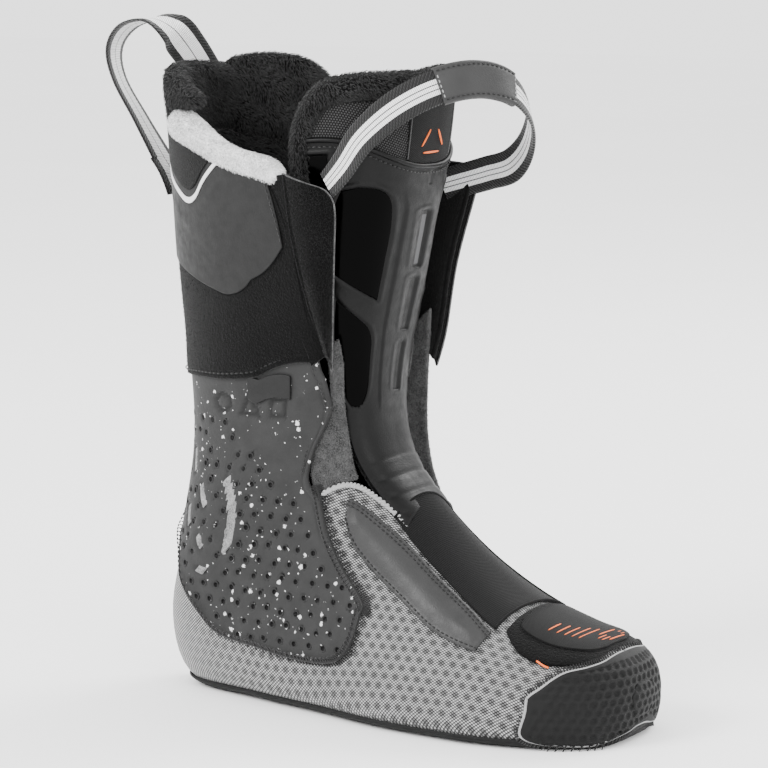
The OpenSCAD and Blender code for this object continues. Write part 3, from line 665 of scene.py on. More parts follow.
def felt(name, dark, light, size=0.7, sheen=0.3, depth=0.35):
    """Felted fibres between two grey levels."""
    look = Look(name, 0.95, sheen * 0.3, 0.08)
    fibres = look.noise(size, 6.0, rough=0.75)
    clumps = look.noise(size * 6, 3.0)
    mottle = look.math("ADD", fibres, look.math("MULTIPLY", clumps, 0.5))
    look.colour(look.mix(look.ramp(mottle, 0.55, 0.95), tone(dark), tone(light)))
    look.bump(fibres, depth)
    look.bump(look.cells(size * 1.6), depth * 0.6, 0.6)
    return look.material


def thread(name, level):
    """Twisted sewing thread."""
    look = Look(name, 0.7, 0.2, 0.3)
    twist = look.noise(0.4, 2.0)
    look.colour(look.mix(twist, tone(level * 0.6), tone(level)))
    look.bump(twist, 0.08)
    return look.material


def fibre(name, dark, light, sheen=0.12):
    """Single fibres, each with its own tone."""
    look = Look(name, 0.75, sheen, 0.15)
    look.colour(look.mix(look.mask("tone"), tone(dark), tone(light)))
    return look.material


def knit():
    """Pale diagonal knit with a lattice of pressed dots that fades towards the heel."""
    look = Look("knit", 0.9, 0.25, 0.2)
    cloth = look.space(True)
    left = look.bands(1.35, look.space(True, turn=math.radians(52)))
    right = look.bands(1.35, look.space(True, turn=math.radians(-52)))
    weave = look.math("MULTIPLY", left, right)
    dots = look.ramp(look.lattice(6.6, cloth), 1.3, 2.6)
    fade = look.ramp(look.add("SeparateXYZ", Vector=cloth).outputs["X"], -30.0, 30.0, 1.0, 0.0)
    dots = look.math("MAXIMUM", dots, look.math("MULTIPLY", fade, 0.9))
    yarn = look.mix(look.ramp(weave, 0.05, 0.6), tone(112), tone(218))
    shade = look.mix(dots, tone(196), tone(255))
    mixed = look.mix(1.0, yarn, shade, "MULTIPLY")
    cloudy = look.mix(look.noise(14, 2), tone(215), tone(255))
    look.colour(look.mix(0.5, mixed, cloudy, "MULTIPLY"))
    look.bump(weave, 0.35)
    look.bump(dots, 0.25, 0.5)
    return look.material


def moulded_foam():
    """Dark pressed foam with pale flecks, and painted shade in its vents and pressed shapes."""
    look = Look("moulded_foam", 0.62, 0.03, 0.22)
    cloudy = look.noise(9, 4)
    base = look.mix(cloudy, tone(74), tone(100))
    drift = look.add("TexNoise", Vector=look.space(), Scale=0.7).outputs["Color"]
    warp = look.vector("ADD", look.space(), look.vector("SCALE", drift, Scale=2.6))
    fleck = 0.0
    for size, reach, rare in ((6.0, 0.20, 0.66), (3.0, 0.17, 0.80), (2.0, 0.16, 0.88), (11.0, 0.13, 0.60)):
        near = look.ramp(look.cells(size, warp), reach, reach * 0.7)
        draw = look.add("SeparateColor", Color=look.cells(size, warp, output="Color")).outputs[0]
        chosen = look.ramp(draw, rare, rare + 0.01)
        fleck = look.math("MAXIMUM", fleck, look.math("MULTIPLY", near, chosen))
    # The mask paints shade into the vents and the pressed shapes, down to near black.
    look.colour(look.mix(look.mask("hole"), look.mix(fleck, base, tone(222)), tone(14)))
    look.bump(look.noise(0.9, 5), 0.10)
    look.bump(look.cells(2.4), 0.12, 0.5)
    return look.material


def leatherette(name, level, roughness=0.45, specular=0.28):
    """Grained synthetic leather."""
    look = Look(name, roughness, 0.0, specular)
    cloudy = look.noise(16, 3)
    look.colour(look.mix(cloudy, tone(level - 9), tone(level + 9)))
    look.set(look.shader, Roughness=look.ramp(look.noise(5, 3), 0.3, 0.7, roughness - 0.06, roughness + 0.10))
    look.bump(look.cells(0.75, feature="SMOOTH_F1"), 0.10, 0.7)
    look.bump(look.noise(0.35, 4), 0.05)
    look.bump(cloudy, 0.6, 0.4)
    return look.material


def gloss():
    """Near-black glossy plastic."""
    look = Look("gloss_plastic", 0.2, 0.0, 0.03)
    smear = look.noise(30, 2)
    look.colour(look.mix(smear, tone(0), tone(5)))
    look.set(look.shader, Roughness=look.ramp(look.noise(8, 3), 0.3, 0.7, 0.12, 0.24))
    look.bump(smear, 1.0, 0.15)
    return look.material


def webbing(name, half, edge, lines=()):
    """White webbing with black twill edges. edge is the edge's width, and lines are thin dark stripes."""
    look = Look(name, 0.75, 0.2, 0.3)
    cloth = look.space(True)
    parts = look.add("SeparateXYZ", Vector=cloth)
    away = look.math("ABSOLUTE", parts.outputs["Y"])
    centre = look.ramp(away, half - edge, half - edge - 0.15)
    rib = look.bands(0.95, look.space(True))
    twill = look.bands(1.5, look.space(True, turn=math.radians(38)))
    white = look.mix(rib, tone(212), tone(255))
    for at in lines:
        near = look.ramp(look.math("ABSOLUTE", look.math("SUBTRACT", away, at)), 0.34, 0.2)
        white = look.mix(near, white, tone(70))
    black = look.mix(look.math("MULTIPLY", twill, rib), tone(20), tone(96))
    look.colour(look.mix(centre, black, white))
    look.bump(look.mix(centre, twill, rib), 0.3)
    return look.material


def ribbed(name, dark, light, pitch, along=0.0):
    """Fine ribbed fabric."""
    look = Look(name, 0.85, 0.05, 0.12)
    rib = look.bands(pitch, look.space(True, turn=along))
    cross = look.bands(pitch * 0.7, look.space(True, turn=along + math.pi / 2))
    fuzz = look.noise(0.5, 4)
    weave = look.math("MULTIPLY", look.math("ADD", rib, look.math("MULTIPLY", cross, 0.5)), fuzz)
    look.colour(look.mix(look.ramp(weave, 0.1, 0.9), tone(dark), tone(light)))
    look.bump(rib, 0.10)
    look.bump(cross, 0.06, 0.7)
    return look.material


def dotted():
    """Dark mesh with a lattice of pale dots."""
    look = Look("dotted_mesh", 0.8, 0.05, 0.15)
    dots = look.ramp(look.lattice(1.5, look.space(True)), 0.62, 0.35)
    look.colour(look.mix(dots, tone(26), tone(112)))
    look.bump(dots, 0.3)
    return look.material


def rubber():
    """Matt sole rubber."""
    look = Look("sole_rubber", 0.75, 0.0, 0.2)
    look.colour(look.mix(look.noise(6, 4), tone(52), tone(76)))
    look.bump(look.noise(0.8, 5), 0.15)
    return look.material


def printed(name, *levels):
    """A flat printed or moulded colour."""
    look = Look(name, 0.55, 0.0, 0.4)
    worn = look.noise(1.2, 3)
    look.colour(look.mix(worn, tone(*[c * 0.9 for c in levels]), tone(*levels)))
    look.bump(worn, 0.05)
    return look.material


def dimpled():
    """The toe cap's coated fabric, with painted shade darkening the inside of its dimples."""
    look = Look("toe_fabric", 0.62, 0.03, 0.22)
    weave = look.bands(0.7, look.space(True, turn=0.7))
    # Painted shade: the mask darkens each dimple to near black.
    look.colour(look.mix(look.mask("dimple"), look.mix(look.noise(3, 4), tone(24), tone(42)), tone(13)))
    look.bump(weave, 0.10)
    look.bump(look.noise(0.6, 4), 0.12)
    return look.material


LOOKS = {
    "knit": knit(),
    "foam": moulded_foam(),
    "sole": rubber(),
    "lining": felt("lining_fabric", 34, 62, 1.0, 0.3),
    "footbed": felt("footbed_fabric", 40, 74, 0.8, 0.2),
    "fleece": felt("loop_fleece", 12, 40, 0.9, 0.3, 0.5),
    "cut_edge": felt("cut_fleece_edge", 92, 150, 0.6, 0.3),
    "grey_felt": felt("grey_felt", 74, 138, 0.8, 0.4, 0.5),
    "pale_felt": felt("pale_felt", 120, 190, 0.8, 0.3),
    "black_felt": felt("black_felt", 16, 44, 0.8, 0.3, 0.5),
    "plush_base": felt("plush_ground", 14, 34, 1.4, 0.3, 0.6),
    "white_base": felt("white_fleece", 205, 252, 1.1, 0.3, 0.5),
    "plush": fibre("black_plush", 18, 104),
    "grey_nap": fibre("grey_felt_nap", 84, 150, 0.2),
    "fleece_nap": fibre("loop_fleece_nap", 16, 80, 0.1),
    "insert": printed("slot_insert", 118, 118, 120),
    "dark_thread": thread("dark_thread", 58),
    "white_fur": fibre("white_fleece_fibre", 196, 252, 0.2),
    "leather": leatherette("synthetic_leather", 96),
    "tongue": leatherette("tongue_plastic", 40, 0.42, 0.15),
    "yoke": leatherette("yoke_synthetic", 66, 0.5, 0.22),
    "gloss": gloss(),
    "elastic": ribbed("ribbed_elastic", 42, 78, 1.0, math.radians(8)),
    "elastic_edge": ribbed("elastic_edge", 22, 40, 0.8),
    "label": ribbed("label_fabric", 28, 78, 0.9, math.radians(45)),
    "tag": leatherette("blank_tag", 18, 0.5),
    "dotted": dotted(),
    "toe": dimpled(),
    "black_thread": thread("black_thread", 12),
    "grey_thread": thread("grey_thread", 120),
    "pale_thread": thread("pale_thread", 210),
    "orange": printed("orange_print", 246, 160, 84),
    "white_print": printed("white_trim", 238, 238, 238),
    "tongue_webbing": webbing("tongue_webbing", 9.0, 5.0, (1.3,)),
    "rear_webbing": webbing("rear_webbing", 11.0, 4.6, (0.0,)),
}


# ---------------------------------------------------------------- foot
SIDES = {"outer": 1, "inner": -1}


def side_edge(points, side):
    """An edge given for the outer side, on either side."""
    return [(k, side * t) for k, t in points]


def both_sides(points):
    """A line given from the front to the rear centre, continued round the other side."""
    return list(points) + [(k, 1 - t) for k, t in points[-2::-1]]


def height_edge(side):
    """Where the sole cup ends on the upper: a line that rises a little at the toe."""
    t = np.linspace(0.27, 0.5, 200)
    line = [(0.05, 0.5)]
    for k in np.linspace(0.35, 10.1, 44):
        z = body(np.stack([np.full(200, k), side * t], -1), 0.8, 0.0)[:, 2]
        level = 5.6 + 3.0 * max(0.0, 1 - k / 3)
        line.append((k, float(np.interp(-level, -z, t))))
    line.append((10.22, 0.5))
    return [(k, t if side > 0 else 1 - t) for k, t in line]


def cup(p, off=0.0):
    """The sole cup's surface: its outer face lies on the ground."""
    return body(p, off, np.maximum(0, (1.5 - np.asarray(off)) * 1.7))


def footbed_plate(p, off=0.0):
    """The footbed: p = [k, s], with s across the foot from 1 at the outer edge to -1."""
    q = np.moveaxis(table_at(SECTIONS, p[..., 0]), -1, 0)
    half = np.where(p[..., 1] > 0, q[4], q[5]) - 20
    half = half * np.sqrt(np.clip(1 - ((p[..., 0] - 8.0) / 1.25).clip(0) ** 2, 0.02, 1))
    return np.stack([q[2], -p[..., 1] * half, 13.4 + off + 2.0 * np.abs(p[..., 1]) ** 3], -1)


# Rims from the top centre round the outer side to the bottom centre
UPPER_RIM = [
    (5.2, 0), (5.2, 0.06), (5.6, 0.10), (8.0, 0.114), (9.0, 0.145), (10.2, 0.20), (11.5, 0.24), (12.5, 0.27),
    (12.7, 0.33), (12.9, 0.39), (13.0, 0.44), (13.0, 0.5),
]
PADDING_RIM = [
    (5.2, 0), (5.2, 0.06), (5.6, 0.11), (8.0, 0.145), (10.0, 0.16), (12.1, 0.175), (12.3, 0.22), (12.5, 0.27),
    (12.7, 0.33), (12.9, 0.39), (13.0, 0.44), (13.0, 0.5),
]
TOE_CAP_RIM = [
    (2.0, 0), (2.1, 0.08), (2.5, 0.13), (3.1, 0.17), (3.6, 0.22), (4.0, 0.26), (4.0, 0.31), (3.4, 0.345),
    (1.6, 0.38), (0.8, 0.44), (0.6, 0.5),
]
DIMPLE_PITCH = 4.6


def toe_dimple(points):
    """1 in the middle of each pressed dimple of the toe cap, 0 between them."""
    s = np.arctan2(points[..., 1] - 3, points[..., 0] - 92) * 44
    z = points[..., 2]
    rows = DIMPLE_PITCH * math.sqrt(3)
    near = np.full(s.shape, 99.0)
    for move in (0.0, 0.5):
        a = ((s / DIMPLE_PITCH + move) % 1 - 0.5) * DIMPLE_PITCH
        b = ((z / rows + move) % 1 - 0.5) * rows
        near = np.minimum(near, np.hypot(a, b))
    return smoothstep((1.9 - near) / 0.8)


def build_foot():
    """Sole, knitted upper, padding and footbed."""
    sole, _ = panel(
        "sole_cup", height_edge(1), height_edge(-1), (150, 40), 1.5, 0.2, "boot", "sole", surface=cup,
        rim=1.3)
    settle(sole, "sole_rubber", "outsole")
    upper = sock("knit_upper", both_sides(UPPER_RIM)[:-1], 70, 160, 0.0, -1.8, "boot", "knit")
    settle(upper, "knit", "lower_upper")
    rim = both_sides(PADDING_RIM)[:-1]
    inside = sock("foot_padding", rim, 60, 120, -2.9, -8.9, "boot", "lining", lip=2.6)
    settle(inside, "lining_fabric", "lower_padding", "lining", fill=0.9)
    plate, _ = panel(
        "footbed_cover", [(3.0, 1), (9.2, 1)], [(3.0, -1), (9.2, -1)], (70, 30), 1.7, -1.7, "boot", "footbed",
        surface=footbed_plate, rim=1.6)
    settle(plate, "footbed_fabric", "footbed", "sole_board")


def build_toe_cap():
    """The dimpled cap, with a cord and overlock stitches along its edge."""
    edge = both_sides(TOE_CAP_RIM)
    cap = sock(
        "toe_cap_cover", edge[:-1], 80, 200, 1.8, 0.7, "boot", "toe",
        relief=lambda p, points, d: -0.7 * toe_dimple(points) * smoothstep((d - 3) / 2),
        # The mask for the painted shade inside each dimple
        dimple=lambda p, points, around: toe_dimple(points))
    settle(cap, "toe_fabric", "toe_cap")
    edging = tube("toe_line_edging", rail(edge, 1.0, n=400), 0.9, "boot", "pale_thread", steps=600)
    settle(edging, "knit")
    strokes = zigzag_strokes(rail(edge, 2.1, -3.2, n=400), rail(edge, 0.4, 2.6, n=400), 2.0, 0.8)
    settle(threads("toe_line_stitches", strokes, 0.42, "boot", "black_thread"), "toe_fabric")


def build_toe_front():
    """The felt insert and the label flap over the toe, with plain orange bars."""
    edge = [(4.75, 0.112), (4.3, 0.15), (3.7, 0.158), (3.0, 0.14), (2.3, 0.10)]
    insert, _ = panel("toe_felt", edge, mirrored(edge), (60, 70), 1.7, 0.7, "boot", "black_felt")
    settle(insert, "black_felt", "toe_stretch_insert")
    edge = [(4.62, 0.062), (4.5, 0.088), (4.0, 0.096), (3.3, 0.088), (2.75, 0.066), (2.5, 0.030)]
    label, _ = panel("toe_label", edge, mirrored(edge), (60, 60), 3.0, 2.0, "boot", "label", rim=0.6)
    settle(label, "synthetic_leather", "toe_label_flap")
    bars = []
    for i in range(5):
        k = 4.1 - 0.18 * i
        bars.append([(k, 0.058 - 0.004 * i), (k - 0.04, 0.020 - 0.008 * i)])
    for i, reach in enumerate((0.022, 0.034, 0.034, 0.022)):
        k = 3.12 - 0.13 * i
        bars.append([(k, -0.018 + reach), (k, -0.018 - reach)])
    marks = threads("toe_label_marks", body(np.array(bars), 3.05), 0.45, "boot", "orange")
    settle(marks, "synthetic_leather")
    line = body(np.array([(3.9, 0.152), (3.7, 0.160), (3.55, 0.163)]), 2.0)
    settle(tube("toe_insert_tab", line, 0.5, "boot", "orange"), "synthetic_leather")


# ---------------------------------------------------------------- instep
ELASTIC_OUTER = [(7.5, 0.112), (6.9, 0.118), (6.2, 0.116), (5.5, 0.118), (4.9, 0.124)]
ELASTIC_INNER = [(7.1, -0.100), (6.7, -0.104), (6.0, -0.104), (5.5, -0.104), (4.75, -0.108)]
PANEL_TOP = [(8.72, 0.153), (8.15, 0.139), (7.2, 0.127), (6.2, 0.121), (5.4, 0.121), (4.92, 0.132)]
PANEL_LOW = [(8.45, 0.177), (8.05, 0.190), (7.4, 0.198), (6.7, 0.202), (5.9, 0.206), (5.08, 0.192)]
FOOT_MIDDLE = np.array([20.0, 0, 40.0])


def pillow(p, points, d):
    """A crowned middle inside a sewn groove."""
    return 1.3 * smoothstep((d - 3.2) / 8) - 0.5 * np.exp(-((d - 3.0) / 0.7) ** 2)


def build_instep_pad(name, side):
    """The padded panel on one side, with its rows of stitches."""
    piece, made = panel(
        "instep_pad_" + name, side_edge(PANEL_TOP, side), side_edge(PANEL_LOW, side), (120, 60), 3.2, 1.0,
        "boot", "leather", rim=1.6, relief=pillow)
    puff(piece, 1.1, 1.5, 0.5, "leather")
    settle(piece, "synthetic_leather", "instep_panel_" + name, fill=0.8)
    strokes = [
        stitch_strokes(inset_line(made, line, inset), 2.0, 0.9, 0.25, FOOT_MIDDLE)
        for line, inset in ((0, 2.6), (0, 4.6), (1, 2.8))
    ]
    sewn = threads("instep_pad_stitches_" + name, np.concatenate(strokes), 0.46, "boot", "black_thread")
    settle(sewn, "synthetic_leather")


def build_elastic():
    """The elastic over the instep, with a fold on each end and a double hem on its inner edge."""
    elastic, made = panel(
        "instep_elastic_web", ELASTIC_OUTER, ELASTIC_INNER, (70, 70), 2.2, 1.1, "boot", "elastic", rim=0.8,
        relief=lambda p, points, d: 0.12 * np.sin(points[..., 1] * 0.25) * smoothstep(d / 6))
    settle(elastic, "ribbed_fabric", "instep_elastic")
    cords = [(f"elastic_fold_{i}", line, 0.8, 0.10, 0.75) for i, line in enumerate((2, 3))]
    cords += [(f"elastic_hem_{i}", 1, inset, 0.15, 0.7) for i, inset in enumerate((0.6, 3.6))]
    for name, line, inset, rise, radius in cords:
        path = inset_line(made, line, inset) + [0, 0, rise]
        settle(tube(name, path, radius, "boot", "elastic_edge"), "ribbed_fabric")


# ---------------------------------------------------------------- ankle
SHELL_FRONT = [
    (13.3, 0.200), (12.6, 0.180), (12.1, 0.160), (11.2, 0.142), (10.6, 0.172), (10.1, 0.188),
    (9.4, 0.186), (8.7, 0.204), (8.1, 0.219), (7.66, 0.230), (7.46, 0.239), (7.45, 0.247),
]
SHELL_REAR = [
    (14.2, 0.497), (13.8, 0.497), (13.4, 0.497), (13.0, 0.497), (12.5, 0.497), (12.2, 0.46),
    (11.7, 0.39), (10.6, 0.327), (9.6, 0.305), (8.6, 0.290), (8.1, 0.281), (7.75, 0.270), (7.56, 0.258),
]
SEWN_FRONT = [(12.9, 0.189), (12.5, 0.177), (12.1, 0.160), (11.2, 0.142), (10.6, 0.172), (10.1, 0.186)]
SLITS = [
    [(12.0, 0.280), (11.35, 0.262), (10.7, 0.268)], [(12.3, 0.340), (12.1, 0.330), (11.9, 0.318)],
    [(12.9, 0.392), (12.75, 0.385), (12.6, 0.378)], [(11.55, 0.322), (11.4, 0.314), (11.25, 0.306)],
    [(11.0, 0.312), (10.9, 0.305), (10.8, 0.298)], [(12.2, 0.376), (12.05, 0.370), (11.9, 0.362)],
]
SHELL_OUT = 3.1
ANKLE_MIDDLE = np.array([-60, 0, 90])
# Radius and height of a vent's lip, wall and floor, and how much painted shade darkens each ring
VENT_PROFILE = ((2.15, 0.02), (1.75, 0.05), (1.40, -0.10), (1.28, -0.5), (1.22, -1.2), (0.02, -1.35))
VENT_SHADE = (0.0, 0.0, 0.35, 0.9, 1.0, 1.0)
VENT_SIDES = 14
GUSSET_REAR = [(13.0, 0.180), (12.2, 0.156), (11.2, 0.150), (10.6, 0.178), (10.0, 0.186), (9.4, 0.181)]
GUSSET_FRONT = [(13.0, 0.150), (12.2, 0.126), (11.2, 0.115), (10.4, 0.110), (9.6, 0.112), (8.8, 0.122)]
THROAT_LINE = [(9.45, 0.180), (9.05, 0.150), (8.6, 0.129), (8.1, 0.116), (7.6, 0.107), (7.2, 0.104)]


def path_distance(points, path):
    """Distance from each point to a short smooth path."""
    line = resample(path, 24)
    return np.min(np.linalg.norm(points[..., None, :] - line, axis=-1), -1)


def hole_centres(points, d, slits):
    """Where the shell's round vents are: a staggered lattice that keeps off the rim and the slits."""
    s, z = unrolled(points)
    free = (d > 5.5) & (z < 157 - 0.95 * (s + HEEL_X + 92).clip(0)) & (slits > 5.0)
    found = []
    for row, height in enumerate(np.arange(14.0, 168.0, 8.0)):
        for along in np.arange(-60.0, 112.0, 9.6) + (row % 2) * 4.8:
            aim = np.array([along, height]) + rng.uniform(-0.7, 0.7, 2)
            miss = np.hypot(s - aim[0], z - aim[1])
            at = np.unravel_index(miss.argmin(), miss.shape)
            if miss[at] < 0.9 and free[at]:
                found.append(points[at])
    return np.array(found)


def motif(points):
    """Depth share of three plain pressed shapes: a ring, a triangle and a square ring."""
    x, z = points[..., 0], points[..., 2]
    ring = np.abs(np.hypot(x + 86, z - 160) - 4.6)
    a, b = x + 68, z - 158.8
    triangle = np.abs(np.maximum.reduce([-b - 0.5, 0.866 * a + 0.5 * b, -0.866 * a + 0.5 * b]) - 3.2)
    square = np.abs(np.maximum(np.abs(x + 50), np.abs(z - 160)) - 4.4)
    return smoothstep((1.5 - np.minimum.reduce([ring, triangle, square])) / 0.7)


def vent_cups(name, centres, normals):
    """The lip, wall and floor of each round vent, with painted shade on its wall and floor."""
    across = unit(np.cross(normals, [0.1, 0.2, 0.97]))
    ring = circles(across, np.cross(normals, across), VENT_SIDES)
    verts = np.stack([centres[:, None] + ring * r + normals[:, None] * h for r, h in VENT_PROFILE], 1)
    one = grid_faces(len(VENT_PROFILE), VENT_SIDES, 0, True, True)
    size = len(VENT_PROFILE) * VENT_SIDES
    faces = (one[None] + (np.arange(len(centres)) * size)[:, None, None]).reshape(-1, 4)
    # Painted shade for each ring of the cups
    dark = np.tile(np.repeat(VENT_SHADE, VENT_SIDES), len(centres))
    return make(name, verts.reshape(-1, 3), faces, "boot", "foam", hole=dark)


def build_shell(name, side):
    """The moulded ankle shell of one side, and its vents."""
    slit_paths = [body(np.array(side_edge(s, side)), SHELL_OUT) for s in SLITS]
    state = {}

    def relief(p, points, d):
        slits = np.min([path_distance(points, path) for path in slit_paths], axis=0)
        centres = hole_centres(points, d, slits)
        near = np.min(np.linalg.norm(points[:, :, None] - centres, axis=-1), -1)
        hole = smoothstep((1.9 - near) / 0.5)
        pressed = motif(points) if side > 0 else 0 * near
        # dark is painted shade: full in the vents, 0.55 in the pressed shapes
        state.update(centres=centres, dark=np.maximum(hole, 0.55 * pressed))
        across = lengths(points, 1)
        bead = 0.7 * np.exp(-((across - 2.2) / 1.3) ** 2) - 0.5 * np.exp(-((across - 4.6) / 0.6) ** 2)
        front = smoothstep((points[..., 2] - 88) / 8)
        lumps = 0.25 * np.sin(points[..., 0] * 0.11) * np.sin(points[..., 2] * 0.09) * smoothstep(d / 6)
        return -1.5 * hole - 0.9 * smoothstep((2.6 - slits) / 1.0) + bead * front - 1.1 * pressed + lumps

    piece, made = panel(
        "ankle_shell_skin_" + name, side_edge(SHELL_FRONT, side), side_edge(SHELL_REAR, side), (260, 100),
        SHELL_OUT, 1.1, "boot", "foam", rim=1.4, relief=relief, hole=lambda p, points, d: state["dark"])
    settle(piece, "moulded_foam", "ankle_shell_" + name)
    skin = body(made["p"], SHELL_OUT)
    flat = skin.reshape(-1, 3)
    normal = unit(np.cross(np.gradient(skin, axis=0), np.gradient(skin, axis=1))).reshape(-1, 3)
    index = [int(np.argmin(np.linalg.norm(flat - c, axis=-1))) for c in state["centres"]]
    facing = normal[index] * np.sign(np.sum(normal[index] * (flat[index] - ANKLE_MIDDLE), -1, keepdims=True))
    settle(vent_cups("ankle_vents_" + name, flat[index], facing), "moulded_foam")


def build_shell_seams(name, side):
    """The cord and overlock along the shell's lower edge, and the stitches down its front."""
    hem = side_edge([(9.75, 0.182)] + SHELL_FRONT[6:], side) + side_edge(SHELL_REAR[4:], side)[::-1]
    cord = tube("ankle_hem_cord_" + name, rail(hem, 2.6, n=300), 0.75, "boot", "black_thread", steps=500)
    settle(cord, "toe_fabric")
    outside = rail(hem, 1.4, 4.6 * side, n=400)
    inside = rail(hem, 3.3, -2.6 * side, n=400)
    strokes = np.concatenate([
        zigzag_strokes(inside, outside, 2.3, 0.4),
        stitch_strokes(rail(hem, 3.4, -3.0 * side, n=400), 2.0, 0.6),
    ])
    settle(threads("ankle_overlock_" + name, strokes, 0.42, "boot", "black_thread"), "toe_fabric")
    strokes = stitch_strokes(rail(side_edge(SEWN_FRONT, side), 3.1, -4.6 * side, n=300), 2.0, 0.8)
    settle(threads("ankle_front_stitches_" + name, strokes, 0.34, "boot", "black_thread"), "toe_fabric")


def build_gusset(name, side):
    """The felt gusset in front of the shell, and its nap."""
    gusset, _ = panel(
        "ankle_felt_" + name, side_edge(GUSSET_REAR, side), side_edge(GUSSET_FRONT, side), (90, 40),
        0.6, -1.4, "boot", "grey_felt", rim=1.0, relief=lambda p, points, d: 0.5 * smoothstep(d / 5))
    settle(gusset, "grey_felt", "ankle_gusset_" + name)
    nap = fur("ankle_felt_nap_" + name, gusset, 6000, 0.9, 0.22, (0.3, 0, -1), 0.4, "boot", "grey_nap")
    settle(nap, "grey_felt")


def build_throat_edge(name, side):
    """The two twisted strands of the knit's edge at the throat."""
    path = rail(side_edge(THROAT_LINE, side), 1.4, n=90)
    strands = []
    for phase in (0, np.pi):
        turn = np.linspace(0, 22 * np.pi, 90) + phase
        strands.append(path + np.stack([np.cos(turn), np.sin(turn) * 0.4, np.sin(turn)], -1) * 0.6)
    rolled = tube("throat_edge_" + name, strands[0], 0.95, "boot", "pale_thread", steps=260)
    second = tube("throat_edge_strand_" + name, strands[1], 0.9, "boot", "pale_thread", steps=260)
    settle(rolled, "knit", "throat_binding_" + name)
    settle(second, "knit")


def build_slit_felts():
    """The felt strips that show in the shell's slits. The CAD node is hidden with the first one.
    The first one stands for all of them.
    """
    nodes = ["vent_slit_inserts"]
    for name, side in SIDES.items():
        for number, slit in enumerate(SLITS):
            path = side_edge(slit, side)
            half = 0.0075 if number == 0 else 0.0050
            strip, _ = panel(
                f"vent_felt_{name}_{number}", [(k, t + half) for k, t in path],
                [(k, t - half) for k, t in path], (40, 16), 3.0, 2.2, "boot", "pale_felt", rim=0.7)
            settle(strip, "grey_felt", *nodes)
            nodes = []


def build_tag():
    """The small blank tag."""
    tag, _ = panel(
        "blank_tag", [(13.36, 0.265), (12.98, 0.263)], [(12.86, 0.229), (12.38, 0.223)], (30, 30), 4.6, 3.4,
        "boot", "tag", rim=0.5)
    settle(tag, "synthetic_leather", "size_tag")


# ---------------------------------------------------------------- cuff
CREASE = [(12.75, 0.187), (13.3, 0.204), (13.9, 0.219), (14.6, 0.235), (15.1, 0.242), (15.6, 0.246)]
CREASE_GAP = 0.013
# Edges from the crease to the rear centre
CUFF_FOOT = both_sides([(12.75, 0.187), (13.0, 0.25), (13.2, 0.33), (13.4, 0.42), (13.45, 0.5)])
CUFF_TOP = both_sides([(15.6, 0.246), (15.75, 0.28), (15.95, 0.34), (16.1, 0.43), (16.15, 0.5)])
WRAP_FOOT = both_sides([(12.72, 0.188), (13.2, 0.25), (13.62, 0.34), (13.80, 0.42), (13.86, 0.5)])
YOKE_FOOT = both_sides([
    (14.72, 0.236), (14.42, 0.254), (14.38, 0.278), (14.51, 0.31), (14.70, 0.36), (14.90, 0.43), (15.0, 0.5),
])
# The chevron's line: low on each side, high at the rear
CHEVRON = np.array(both_sides([
    (15.85, 0.275), (15.60, 0.306), (15.41, 0.326), (15.38, 0.346), (15.50, 0.375), (15.72, 0.425),
    (15.86, 0.465), (15.90, 0.5),
]))
CHEVRON_WIDE = 0.065
WRAP_OUT = 5.0
WRAP_IN = 3.7
YOKE_OUT = 6.2
WING_LOW = [(16.05, 0.575), (15.95, 0.61), (15.85, 0.65), (15.75, 0.69), (15.60, 0.72), (15.5, 0.748)]
WING_TOP = [(16.88, 0.575), (17.0, 0.61), (17.02, 0.65), (16.86, 0.69), (16.50, 0.72), (16.0, 0.748)]
TRIM_LINE = [
    (16.25, 0.392), (16.20, 0.366), (16.10, 0.33), (15.94, 0.295), (15.80, 0.264), (15.66, 0.246),
    (15.52, 0.238),
]
# The white roll on each side: how far it sits below the line and off the body, and its radii
TRIMS = {
    "outer": (0.0, 1.6, (7.6, 8.0, 7.4, 6.3, 6.0, 6.2, 4.5)),
    "inner": (-0.22, 5.5, (4.0, 4.6, 4.8, 4.8, 4.6, 4.4, 3.5)),
}
RIM_FOOT = both_sides([
    (16.40, 0.325), (16.36, 0.38), (16.30, 0.41), (16.10, 0.43), (16.10, 0.46), (16.12, 0.5),
])
RIM_TOP = both_sides([
    (16.52, 0.325), (16.70, 0.38), (16.77, 0.405), (16.83, 0.43), (16.86, 0.46), (16.88, 0.5),
])


def build_cuff_pad():
    """The cuff's foam and lining, with plush on the upper part of its inside."""
    def inwards(points, normals):
        away = points - [-50, 0, 0]
        inner = (normals[:, 0] * away[:, 0] + normals[:, 1] * away[:, 1]) < 0
        return inner * smoothstep((points[:, 2] - 225) / 25)

    pad, _ = panel("cuff_pad", CUFF_FOOT, CUFF_TOP, (200, 60), 0.0, -6.6, "boot", "lining", rim=3.3)
    puff(pad, 3.0, 1.0, 0.8, "lining")
    settle(pad, "lining_fabric", "cuff_foam", "cuff_lining", fill=0.9)
    plush = fur("cuff_inner_plush", pad, 26000, 3.4, 0.42, (0.75, 0.2, -0.6), 0.72, "boot", "plush", inwards)
    settle(plush, "black_plush")


